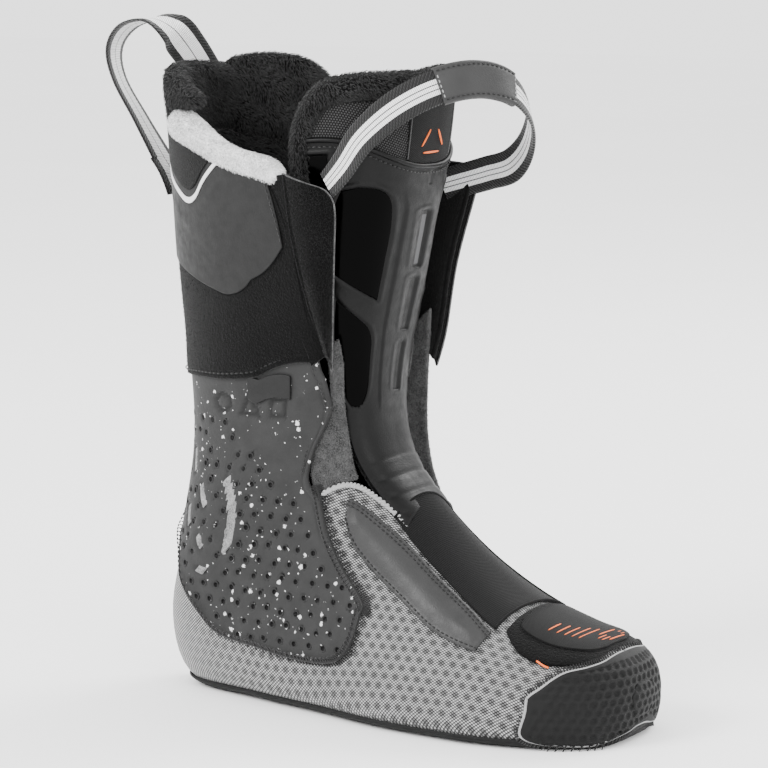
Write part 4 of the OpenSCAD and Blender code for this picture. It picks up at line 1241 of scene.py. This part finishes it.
def build_cuff_wrap():
    """The fleece round the cuff, its hem and its nap."""
    def hem(p, points, d):
        return -0.35 * np.exp(-((lengths(points, 1) - 3.2) / 0.8) ** 2) + 0.2 * np.sin(points[..., 2] * 0.12)

    def outwards(points, normals):
        return ((normals * (points - [-60, 0, 200])).sum(-1) > 0).astype(float)

    wrap, _ = panel(
        "cuff_fleece", WRAP_FOOT, CUFF_TOP, (180, 70), WRAP_OUT, WRAP_IN, "boot", "fleece", rim=0.9,
        relief=hem)
    settle(wrap, "loop_fleece", "cuff_wrap")
    strokes = stitch_strokes(rail(WRAP_FOOT, 5.0, -3.2, n=400), 2.4, 0.9)
    settle(threads("cuff_hem_stitches", strokes, 0.34, "boot", "dark_thread"), "loop_fleece")
    nap = fur("cuff_fleece_nap", wrap, 20000, 0.8, 0.22, (0.2, 0, -1), 0.45, "boot", "fleece_nap", outwards)
    settle(nap, "loop_fleece")


def build_yoke():
    """The smooth yoke, its white chevron, and the felt patch above the chevron."""
    def ghost(p, points, d):
        low = np.interp(p[..., 1], CHEVRON[:, 1], CHEVRON[:, 0] - 0.22)
        return 0.25 * np.exp(-((p[..., 0] - low) / 0.05) ** 2)

    yoke, _ = panel(
        "cuff_yoke_skin", YOKE_FOOT, CUFF_TOP, (180, 60), YOKE_OUT, 5.3, "boot", "yoke", rim=0.6,
        relief=ghost)
    settle(yoke, "yoke_synthetic", "cuff_yoke")
    stripe, _ = panel(
        "chevron_line", CHEVRON, CHEVRON + [CHEVRON_WIDE, 0], (400, 8), YOKE_OUT + 0.45, YOKE_OUT - 0.1,
        "boot", "white_print", rim=0.4)
    settle(stripe, "white_trim", "chevron_trim")
    low = resample(CHEVRON, 60)
    low = low[(low[:, 1] > 0.29) & (low[:, 1] < 0.71)] + [0.14, 0]
    top = np.interp(low[:, 1], [0.3, 0.34, 0.5, 0.66, 0.7], [16.0, 16.12, 16.25, 16.12, 16.0])
    patch, _ = panel(
        "rear_felt_patch", low, np.stack([top, low[:, 1]], -1), (120, 24), YOKE_OUT + 0.6, YOKE_OUT - 0.2,
        "boot", "black_felt", rim=0.5)
    settle(patch, "black_felt", "rear_patch")


def build_collar_wing():
    """The plush inside the collar on the inner side."""
    wing, _ = panel(
        "collar_plush_wing", WING_LOW, WING_TOP, (110, 50), 2.2, -6.4, "boot", "plush_base", rim=4.2)
    puff(wing, 2.2, 2.5, 1.0, "plush_base")
    settle(wing, "black_plush", fill=0.8)
    nap = fur("collar_wing_fibres", wing, 22000, 2.8, 0.42, (0.6, 0.2, -0.8), 0.62, "boot", "plush")
    settle(nap, "black_plush")


def build_collar_trim(name, side):
    """The white fleece roll of one side, and the stitches down the yoke's front edge."""
    drop, away, radii = TRIMS[name]
    path = body(np.array(side_edge(TRIM_LINE, side)) + [drop, 0], away)
    trim = roll("collar_fleece_" + name, path, radii, "boot", "white_base")
    puff(trim, 1.5, 3.0, 0.8, "white_base")
    settle(trim, "white_fleece", "collar_trim_" + name, fill=0.8)
    nap = fur("collar_fleece_nap_" + name, trim, 13000, 1.5, 0.32, (0.4, 0, -1), 0.35, "boot", "white_fur")
    settle(nap, "white_fleece")
    crease = side_edge([(15.6, 0.247), (15.2, 0.243), (14.75, 0.237)], side)
    strokes = stitch_strokes(rail(crease, YOKE_OUT + 0.1, n=200), 2.2, 1.0)
    settle(threads("yoke_stitches_" + name, strokes, 0.34, "boot", "black_thread"), "yoke_synthetic")


def build_collar_rim():
    """The crumpled plush roll along the collar's rear."""
    rim, _ = panel(
        "collar_plush_roll", RIM_FOOT, RIM_TOP, (160, 60), 6.2, -5.6, "boot", "plush_base", rim=5.8,
        relief=lambda p, points, d: np.sin(points[..., 1] * 0.16 + 1.2) * smoothstep(d / 8))
    puff(rim, 2.2, 2.5, 1.2, "plush_base")
    settle(rim, "black_plush", "collar_plush", fill=0.8)
    nap = fur("collar_plush_fibres", rim, 26000, 3.0, 0.42, (0.5, 0.5, -0.8), 0.62, "boot", "plush")
    settle(nap, "black_plush")


# ---------------------------------------------------------------- flaps and throat
# Each flap's front edge, from its foot up
FLAP_EDGES = {
    "outer": [(-18, -40, 182), (-14, -46, 214), (-10, -51, 241), (-6, -57, 268), (-11, -59, 277)],
    "inner": [(-3, 41, 176), (1, 44, 195), (4, 50, 231), (11, 57, 268), (12, 60, 281)],
}
FLAP_BULGE = 3.0
FLAP_BACK = [(0, -0.09), (0.5, -0.09), (1, -0.09)]
FLAP_FRONT = [(0.0, 0.97), (0.03, 1.0), (0.3, 1.0), (0.6, 1.0), (0.9, 1.0), (0.975, 0.97), (1.0, 0.86)]
FLAP_MIDDLE = np.array([-40.0, 0, 210.0])
WING_BACK = [(12.9, -0.182), (12.2, -0.178), (11.2, -0.175), (10.4, -0.175), (9.6, -0.175), (8.8, -0.160)]
WING_FRONT = [(-5, 37, 207), (-7, 39, 185), (-9, 41, 163), (-9, 41, 141), (-5, 40, 121), (5, 36, 103)]


def along_edge(edge, share):
    """Points at shares from 0 to 1 of the smooth curve through an edge."""
    return table_at(edge, np.clip(share, 0, 1) * (len(edge) - 1))


def flap_surface(name):
    """The front flap's ruled surface: p = [r, v], r up the crease and v from the crease to the front edge."""
    side = SIDES[name]
    start = body(np.array([(k, side * (t - CREASE_GAP)) for k, t in CREASE]), WRAP_OUT)

    def surface(p, off=0.0):
        p = np.asarray(p, float)
        off = np.broadcast_to(np.asarray(off, float), p.shape[:-1])[..., None]
        a, b = along_edge(start, p[..., 0]), along_edge(FLAP_EDGES[name], p[..., 0])
        v = p[..., 1:2]
        out = -side * unit(np.cross(b - a, [0, 0, -1.0]))
        bulge = 4 * FLAP_BULGE * np.clip(v, 0, 1) * (1 - np.clip(v, 0, 1))
        return a * (1 - v) + b * v + out * (off + bulge)
    return surface


def throat_wing(p, off=0.0):
    """The inner side's felt edge, which stands off the tongue: p = [r, v], r down the throat."""
    p = np.asarray(p, float)
    a, b = along_edge(body(np.array(WING_BACK), -1.0), p[..., 0]), along_edge(WING_FRONT, p[..., 0])
    out = -unit(np.cross(b - a, [0, 0, 1.0]))
    off = np.broadcast_to(np.asarray(off, float), p.shape[:-1])[..., None]
    return a * (1 - p[..., 1:2]) + b * p[..., 1:2] + out * off


def build_throat_wing():
    """The felt edge on the inner side of the throat."""
    wing, _ = panel(
        "throat_felt_wing", [(0, 0.0), (0.5, 0.0), (1, 0.0)], [(0, 1.0), (0.5, 1.0), (1, 1.0)], (80, 40),
        1.6, -1.6, "boot", "grey_felt", surface=throat_wing, rim=1.6)
    settle(wing, "grey_felt")
    nap = fur("throat_felt_wing_nap", wing, 8000, 0.9, 0.22, (0.3, 0, -1), 0.4, "boot", "grey_nap")
    settle(nap, "grey_felt")


def build_flap(name, side):
    """A front flap of fleece and padding, with a fleece strip along its crease."""
    surface = flap_surface(name)
    joint, _ = panel(
        "flap_hinge_" + name, side_edge([(k, t + 0.012) for k, t in CREASE], side),
        side_edge([(k, t - 0.017) for k, t in CREASE], side), (120, 14), WRAP_OUT - 0.15, WRAP_IN,
        "boot", "fleece", rim=0.5)
    settle(joint, "loop_fleece")
    sheet, made = panel(
        "flap_fleece_" + name, FLAP_BACK, FLAP_FRONT, (150, 70), 0.0, -1.8, None, "fleece", surface=surface,
        rim=0.8, relief=lambda p, points, d: 0.15 * np.sin(points[..., 2] * 0.2) * smoothstep(d / 6))
    settle(sheet, "loop_fleece", "flap_wrap_" + name)
    pad, _ = panel(
        "flap_pad_" + name, [(0.04, 0.02), (0.97, 0.02)], [(0.05, 0.93), (0.5, 0.94), (0.93, 0.93)], (80, 40),
        -1.7, -5.7, None, "lining", surface=surface, rim=1.9)
    settle(pad, "lining_fabric", "flap_foam_" + name, "flap_lining_" + name, fill=0.9)
    rim = np.concatenate([inset_line(made, 3, 0.3)[:-1], inset_line(made, 1, 0.3)[::-1]])
    cut = tube("flap_cut_edge_" + name, rim[::2] - [0, 0, 0.2], 0.55, None, "cut_edge", sides=8, steps=260)
    nap = fur(
        "flap_fleece_nap_" + name, sheet, 9000, 0.8, 0.22, (0.2, 0, -1), 0.45, None, "fleece_nap",
        lambda points, normals: (normals[:, 1] * -side > 0).astype(float))
    strokes = stitch_strokes(inset_line(made, 2, 3.0), 2.4, 0.9, 0.2, FLAP_MIDDLE)
    sewn = threads("flap_hem_stitches_" + name, strokes, 0.34, None, "dark_thread")
    for piece in (cut, nap, sewn):
        settle(piece, "loop_fleece")
    crease, beyond = (surface(np.array([0.5, v])) * MM for v in (-0.03, 0.22))
    for piece in (sheet, pad, cut, nap, sewn):
        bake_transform(piece)


# ---------------------------------------------------------------- tongue
SHELL_TOP = [
    (16.0, 1), (16.0, 0.85), (15.95, 0.69), (15.83, 0.52), (15.68, 0.34), (15.54, 0.14), (15.49, -0.04),
    (15.54, -0.22), (15.68, -0.40), (15.83, -0.56), (15.95, -0.70), (16.0, -0.85), (16.0, -1),
]
TONGUE_FOOT = 7.15
TONGUE_TOP = 16.45
# The two edges of each glossy plate: the big one, the low one and the small one
WINDOWS = (
    [[(15.30, 0.74), (15.05, 0.80), (14.6, 0.82), (14.22, 0.80)],
     [(15.31, 0.60), (15.24, 0.42), (15.05, 0.29), (14.67, 0.26), (14.2, 0.29), (13.50, 0.34)]],
    [[(13.85, 0.80), (13.0, 0.88), (12.2, 0.88), (11.4, 0.82), (10.95, 0.74)],
     [(12.95, 0.45), (12.6, 0.39), (12.04, 0.40), (11.2, 0.42), (10.78, 0.50), (10.70, 0.60)]],
    [[(15.80, 0.96), (15.5, 0.96), (15.25, 0.94)], [(15.80, 0.84), (15.5, 0.83), (15.34, 0.86)]],
)
SLOTS = ((14.05, 14.80), (12.62, 13.80), (10.70, 12.25))
SLOT_U = -0.04         # how far the slots' line lies off the middle
CREASES = ((134, 0.35), (125, 0.6), (117, 0.6), (109, 0.4))    # height and depth of each flex groove
NICK_K = 15.32         # the notch under the label, and half its length
NICK_HALF = 0.09
PLANE = np.array([40.0, 45.0])    # millimetres for one section, and for one unit across the tongue
ROLL_LINE = [
    (14.7, 1.0), (15.4, 1.0), (16.05, 0.99), (16.48, 0.90), (16.62, 0.70), (16.64, 0.35), (16.64, 0.0),
]
ROLL_RADII = (4.8, 5.8, 6.6, 7.2, 7.2, 7.0, 6.6)
LABEL_U = 0.195
TAIL_EDGE = [(7.1, 0.100), (6.6, 0.094), (6.1, 0.091), (5.6, 0.090)]


def plane_distance(p, polygon):
    """Signed distance from a closed outline in the tongue's own plane, negative inside."""
    point = p * PLANE
    corner = np.asarray(polygon, float) * PLANE
    best = np.full(p.shape[:-1], 1e9)
    inside = np.zeros(p.shape[:-1], bool)
    for a, b in zip(corner, np.roll(corner, -1, 0)):
        way = b - a
        share = np.clip(((point - a) @ way) / max(way @ way, 1e-9), 0, 1)
        best = np.minimum(best, np.linalg.norm(point - a - share[..., None] * way, axis=-1))
        cross = (a[0] > point[..., 0]) != (b[0] > point[..., 0])
        at = a[1] + (point[..., 0] - a[0]) / (b[0] - a[0] if abs(b[0] - a[0]) > 1e-9 else 1e-9) * way[1]
        inside ^= cross & (point[..., 1] < at)
    return np.where(inside, -best, best)


def window_outline(window, side):
    """The closed outline of a plate, on one side of the tongue."""
    left, right = (resample(edge, 20) for edge in window)
    return np.concatenate([left, right[::-1]]) * [1, side]


def tongue_relief(p, points, d):
    """Recesses for the plates and slots, the raised middle, and the flex grooves above the instep."""
    height = np.zeros(p.shape[:-1])
    for window in WINDOWS:
        for side in (1, -1):
            away = plane_distance(p, window_outline(window, side))
            height += 0.45 * np.exp(-((away - 1.6) / 1.1) ** 2) - 1.3 * smoothstep((0.6 - away) / 1.2)
    reach = np.interp(p[..., 0], [10.2, 12.7, 14.9, 15.3], [0.24, 0.25, 0.16, 0.22])
    middle = smoothstep((reach - np.abs(p[..., 1] + 0.03)) * PLANE[1] / 1.6 + 0.5)
    height += 1.0 * middle * smoothstep((p[..., 0] - 9.9) / 0.6) * smoothstep((15.3 - p[..., 0]) / 0.5)
    aside = (p[..., 1] - SLOT_U) * PLANE[1]
    for low, high in SLOTS:
        k = np.clip(p[..., 0], low, high)
        away = np.hypot((p[..., 0] - k) * PLANE[0], aside) - 2.0
        height += 0.35 * np.exp(-((away - 1.6) / 0.7) ** 2) - 1.5 * smoothstep((0.3 - away) / 0.8)
    for level, depth in CREASES:
        bow = level - 0.004 * points[..., 1] ** 2
        height -= depth * np.exp(-((points[..., 2] - bow) / 1.3) ** 2)
    nick = (np.abs(p[..., 0] - NICK_K) - NICK_HALF).clip(0) * PLANE[0]
    height -= 0.5 * np.exp(-((aside / 0.5) ** 2 + (nick / 0.6) ** 2))
    return height * smoothstep(d / 2)


def build_tongue_shell():
    """The moulded shell."""
    foot = [(TONGUE_FOOT, 0.8), (TONGUE_FOOT, -0.8)]
    shell, _ = panel(
        "tongue_shell_skin", foot, SHELL_TOP, (160, 235), 0.0, -2.4, None, "tongue", surface=tongue, rim=1.0,
        relief=tongue_relief)
    settle(shell, "tongue_plastic", "tongue_shell")
    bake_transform(shell)


def build_tongue_pad():
    """The tongue's foam and plush."""
    pad, _ = panel(
        "tongue_pad", [(8.0, 0.97), (8.0, -0.97)], [(16.5, 0.97), (16.5, -0.97)], (110, 140), -2.6, -11.0,
        None, "plush_base", surface=tongue, rim=4.0)
    puff(pad, 3.0, 1.0, 0.6, "plush_base")
    settle(pad, "black_plush", "tongue_foam", "tongue_plush", fill=0.9)
    nap = fur(
        "tongue_plush_fibres", pad, 16000, 2.4, 0.42, (-0.3, 0.2, -1), 0.65, None, "plush",
        lambda points, normals: (normals[:, 0] < 0.3) * smoothstep((points[:, 2] - 200) / 30))
    settle(nap, "black_plush")
    for piece in (pad, nap):
        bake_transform(piece)


def build_tongue_edge():
    """The bead and stitches along the shell's top, and the dotted mesh above them."""
    bead = tube("tongue_bead", rail(SHELL_TOP, 0.3, 0.0, tongue), 1.35, "tongue", "tongue", steps=300)
    settle(bead, "tongue_plastic")
    strokes = stitch_strokes(rail(SHELL_TOP, 0.15, -3.4, tongue, n=300), 1.9, 1.1)
    settle(threads("tongue_bead_stitches", strokes, 0.34, "tongue", "black_thread"), "tongue_plastic")
    mesh, _ = panel(
        "tongue_dotted_mesh", [(k + 0.02, u) for k, u in SHELL_TOP], [(TONGUE_TOP, 1), (TONGUE_TOP, -1)],
        (120, 36), -0.3, -2.4, "tongue", "dotted", surface=tongue, rim=0.8)
    settle(mesh, "ribbed_fabric", "tongue_mesh")


def build_tongue_roll():
    """The plush roll round the tongue's top."""
    line = ROLL_LINE + [(k, -u) for k, u in ROLL_LINE[-2::-1]]
    radii = ROLL_RADII + ROLL_RADII[-2::-1]
    top = roll("tongue_top_plush", tongue(np.array(line), -3.6), radii, "tongue", "plush_base", steps=160)
    puff(top, 2.2, 2.5, 1.0, "plush_base")
    settle(top, "black_plush", "tongue_top_roll", fill=0.8)
    nap = fur("tongue_top_fibres", top, 27000, 2.2, 0.4, (0.3, 0.5, -0.7), 0.6, "tongue", "plush")
    settle(nap, "black_plush")


def build_plates(name, side):
    """The three glossy plates of one side. The CAD node is hidden with the first one.
    The first one stands for them.
    """
    nodes = ["tongue_windows_" + name]
    for number, window in enumerate(WINDOWS):
        left, right = ([(k, side * u) for k, u in edge] for edge in window)
        plate, _ = panel(
            f"tongue_plate_{name}_{number}", left, right, (50, 36), -0.55, -1.6, "tongue", "gloss",
            surface=tongue, rim=0.5)
        settle(plate, "gloss_plastic", *nodes)
        nodes = []


def build_slots():
    """The strips in the centre slots. The CAD node is hidden with the first one. The
    first one stands for them.
    """
    nodes = ["tongue_slot_inserts"]
    for number, (low, high) in enumerate(SLOTS):
        sides = [[(k, SLOT_U + half) for k in np.linspace(low, high, 5)] for half in (0.028, -0.028)]
        strip, _ = panel(
            f"tongue_slot_{number}", *sides, (60, 14), -0.45, -1.4, "tongue",
            "insert" if number == 0 else "tongue", surface=tongue, rim=1.2)
        settle(strip, "tongue_plastic", *nodes)
        nodes = []


def build_label():
    """The label, with a line on each side and an orange triangle."""
    label, _ = panel(
        "tongue_label_patch", [(15.60, 0.19), (15.55, 0), (15.58, -0.19)],
        [(16.36, 0.22), (16.36, 0), (16.36, -0.22)], (40, 40), 0.7, -0.6, "tongue", "label",
        surface=tongue, rim=0.5)
    settle(label, "synthetic_leather", "tongue_label")
    for name, side in SIDES.items():
        path = tongue(np.array([(k, side * LABEL_U) for k in (15.62, 16.0, 16.34)]), 0.75)
        settle(tube("tongue_label_line_" + name, path, 0.35, "tongue", "grey_thread"), "synthetic_leather")
    corners = np.array([(15.70, 0.10), (15.70, -0.10), (16.13, 0.0)])
    after = np.roll(corners, -1, 0)
    bars = np.stack([corners * 0.80 + after * 0.20, corners * 0.22 + after * 0.78], 1)
    settle(threads("tongue_label_marks", tongue(bars, 0.8), 0.6, "tongue", "orange"), "synthetic_leather")


def build_tail():
    """The tongue's foot under the instep elastic: shell and pad."""
    ends = (TAIL_EDGE, mirrored(TAIL_EDGE), (50, 60))
    tail, _ = panel("tongue_tail_skin", *ends, -0.2, -2.2, "boot", "tongue")
    settle(tail, "tongue_plastic", "tongue_tail_shell")
    foam, _ = panel("tongue_tail_pad", *ends, -3.0, -6.0, "boot", "lining", rim=1.4)
    settle(foam, "lining_fabric", "tongue_tail_foam", fill=0.9)


# ---------------------------------------------------------------- loops
TONGUE_LOOP = np.array([
    (-13, -52, 278), (-4, -52, 288), (7, -51, 303), (23, -44, 318), (38, -29, 328), (50, -8, 331),
    (58, 12, 325), (58, 30, 311), (49, 43, 295), (36, 50, 283), (20, 53, 278), (6, 54, 274), (-8, 54, 270),
], float)
REAR_LOOP = np.array([
    (-151, 0, 283), (-164, -1, 303), (-178, -1, 324), (-182, 0, 340), (-174, 1, 352), (-160, 3, 356),
    (-150, 9, 351), (-146, 18, 341), (-142, 27, 327),
], float)
# How the rear webbing turns: the x of its width's direction, whose y is 1
REAR_TURN = (-0.1, -0.25, -0.3, -0.2, 0, 0.25, 0.4, 0.5, 0.5)
REAR_BASE = np.array([(-140, 0, 264), (-142.5, 0, 270), (-146, 0, 276.5), (-151, 0, 283)], float)
WEBBING = 1.6          # the webbing's thickness
SLEEVE_FACE = 2.2      # half the sleeve's thickness


def loop_sides(route):
    """Which way the webbing's width runs: its faces look away from the loop's middle, and a little up."""
    away = route * [1, 1, 0] - [5, 0, 0]
    return np.cross(unit(unit(away) + [0, 0, 0.25]), unit(np.gradient(route, axis=0)))


def ribs(walk, across):
    """Fine relief of the webbing's weave."""
    return 0.08 * np.sin(walk * 2 * np.pi / 1.9) + 0.05 * np.sin((walk + across) * 2 * np.pi / 3.1)


def sleeve_relief(walk, across):
    """A raised edge and a sewn groove along each side of the leather sleeve."""
    edge = 0.25 * np.exp(-((np.abs(across) - 9.0) / 0.8) ** 2)
    groove = 0.25 * np.exp(-((np.abs(across) - 7.6) / 0.5) ** 2)
    return edge - groove + 0 * walk


def build_tongue_loop():
    """The webbing from one side of the tongue to the other."""
    strap = band(
        "tongue_loop_webbing", TONGUE_LOOP, loop_sides(TONGUE_LOOP), 18, WEBBING, None, "tongue_webbing",
        steps=300, relief=ribs)
    settle(strap, "webbing", "tongue_loop_strap")
    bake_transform(strap)


def build_sleeve():
    """The leather sleeve on the tongue loop, with stitches along it and tacks across its ends."""
    at = np.linspace(4.0, 6.0, 9)
    route, wide = table_at(TONGUE_LOOP, at), table_at(loop_sides(TONGUE_LOOP), at)
    sleeve = band(
        "tongue_loop_leather", route, wide, 20, 2 * SLEEVE_FACE, "tongue_loop", "leather", steps=120,
        across=41, relief=sleeve_relief)
    settle(sleeve, "synthetic_leather", "tongue_loop_sleeve")
    fine = resample(route, 160)
    across = unit(resample(wide, 160))
    up = np.cross(unit(np.gradient(fine, axis=0)), across)
    rows = []
    for sign in (1, -1):
        for face in (SLEEVE_FACE, -SLEEVE_FACE):
            line = fine + across * 7.6 * sign + up * face
            rows.append(stitch_strokes(line[4:-4], 2.0, 1.0))
    dark = threads("tongue_loop_stitches", np.concatenate(rows), 0.34, "tongue_loop", "black_thread")
    settle(dark, "synthetic_leather")
    rows = []
    for end in (4, -5):
        for face in (SLEEVE_FACE + 0.05, -SLEEVE_FACE - 0.05):
            line = fine[end] + np.linspace(-7.0, 7.0, 40)[:, None] * across[end] + up[end] * face
            rows.append(stitch_strokes(line, 1.6, 1.0))
    pale = threads("tongue_loop_tacks", np.concatenate(rows), 0.34, "tongue_loop", "pale_thread")
    settle(pale, "synthetic_leather")


def build_rear_loop():
    """The rear webbing and its sewn foot."""
    sides = np.array([(turn, 1, 0) for turn in REAR_TURN], float)
    rear = band(
        "rear_loop_webbing", REAR_LOOP, sides, 22, WEBBING, None, "rear_webbing", steps=220, relief=ribs)
    settle(rear, "webbing", "rear_loop_strap")
    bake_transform(rear)
    sides = np.array([(0.0, 1, 0)] * len(REAR_BASE))
    base = band(
        "rear_loop_foot", REAR_BASE, sides, 22, WEBBING, "boot", "rear_webbing", steps=60, across=45,
        relief=ribs)
    settle(base, "webbing", "rear_loop_base")


# ---------------------------------------------------------------- stage
CAMERA_AIM = (-0.0113, 0.0, 0.1704)
CAMERA_AZIMUTH = 31.5
CAMERA_ELEVATION = 8.47
CAMERA_DISTANCE = 1.7626
CAMERA_LENS = 158.6
WORLD_STRENGTH = 2.3
FLOOR_HALF = 6


def look_at(piece, aim):
    """Turns a lamp or camera to a point."""
    piece.rotation_mode = "QUATERNION"
    piece.rotation_quaternion = (Vector(aim) - piece.location).to_track_quat("-Z", "Y")


def add_light(name, place, size, power):
    """A soft square lamp that shines on the object."""
    light = bpy.data.lights.new(name, "AREA")
    light.size = size
    light.energy = power
    lamp = bpy.data.objects.new(name, light)
    lamp.location = place
    look_at(lamp, (0, 0, 0.15))
    bpy.context.scene.collection.objects.link(lamp)


def build_floor():
    """A plain pale floor."""
    floor = bpy.data.meshes.new("floor")
    corners = [(x * FLOOR_HALF, y * FLOOR_HALF, 0) for x, y in ((-1, -1), (1, -1), (1, 1), (-1, 1))]
    floor.from_pydata(corners, [], [(0, 1, 2, 3)])
    paper = Look("floor_paper", 0.9, 0.0, 0.1)
    paper.colour(paper.mix(paper.noise(400, 2), tone(252), tone(255)))
    floor.materials.append(paper.material)
    plane = bpy.data.objects.new("floor", floor)
    bpy.context.scene.collection.objects.link(plane)


def build_studio():
    """White surroundings and three soft lamps."""
    world = bpy.data.worlds.new("studio")
    world.use_nodes = True
    background = world.node_tree.nodes["Background"]
    background.inputs["Color"].default_value = (1, 1, 1, 1)
    background.inputs["Strength"].default_value = WORLD_STRENGTH
    bpy.context.scene.world = world
    add_light("key", (-0.9, -1.6, 1.5), 0.9, 56)
    add_light("fill", (1.9, -1.0, 0.9), 1.2, 22)
    add_light("rim", (0.6, 1.6, 1.6), 1.0, 40)


def build_camera():
    """The camera, in front and to the outer side of the boot."""
    camera = bpy.data.objects.new("camera", bpy.data.cameras.new("camera"))
    a, e = math.radians(CAMERA_AZIMUTH), math.radians(CAMERA_ELEVATION)
    back = Vector((math.sin(a) * math.cos(e), -math.cos(a) * math.cos(e), math.sin(e)))
    camera.location = Vector(CAMERA_AIM) + back * CAMERA_DISTANCE
    look_at(camera, CAMERA_AIM)
    camera.data.lens = CAMERA_LENS
    camera.data.clip_start = 0.05
    bpy.context.scene.collection.objects.link(camera)
    bpy.context.scene.camera = camera


# The order matters: the vents and the fibres draw from one stream of random numbers
build_floor()
build_studio()
build_camera()
build_foot()
build_toe_cap()
build_toe_front()
for name, side in SIDES.items():
    build_instep_pad(name, side)
build_elastic()
for name, side in SIDES.items():
    build_shell(name, side)
    build_shell_seams(name, side)
    build_gusset(name, side)
    build_throat_edge(name, side)
build_slit_felts()
build_tag()
build_cuff_pad()
build_cuff_wrap()
build_yoke()
build_collar_wing()
for name, side in SIDES.items():
    build_collar_trim(name, side)
build_collar_rim()
build_throat_wing()
for name, side in SIDES.items():
    build_flap(name, side)
build_tongue_shell()
build_tongue_pad()
build_tongue_edge()
build_tongue_roll()
for name, side in SIDES.items():
    build_plates(name, side)
build_slots()
build_label()
build_tail()
build_tongue_loop()
build_sleeve()
build_rear_loop()
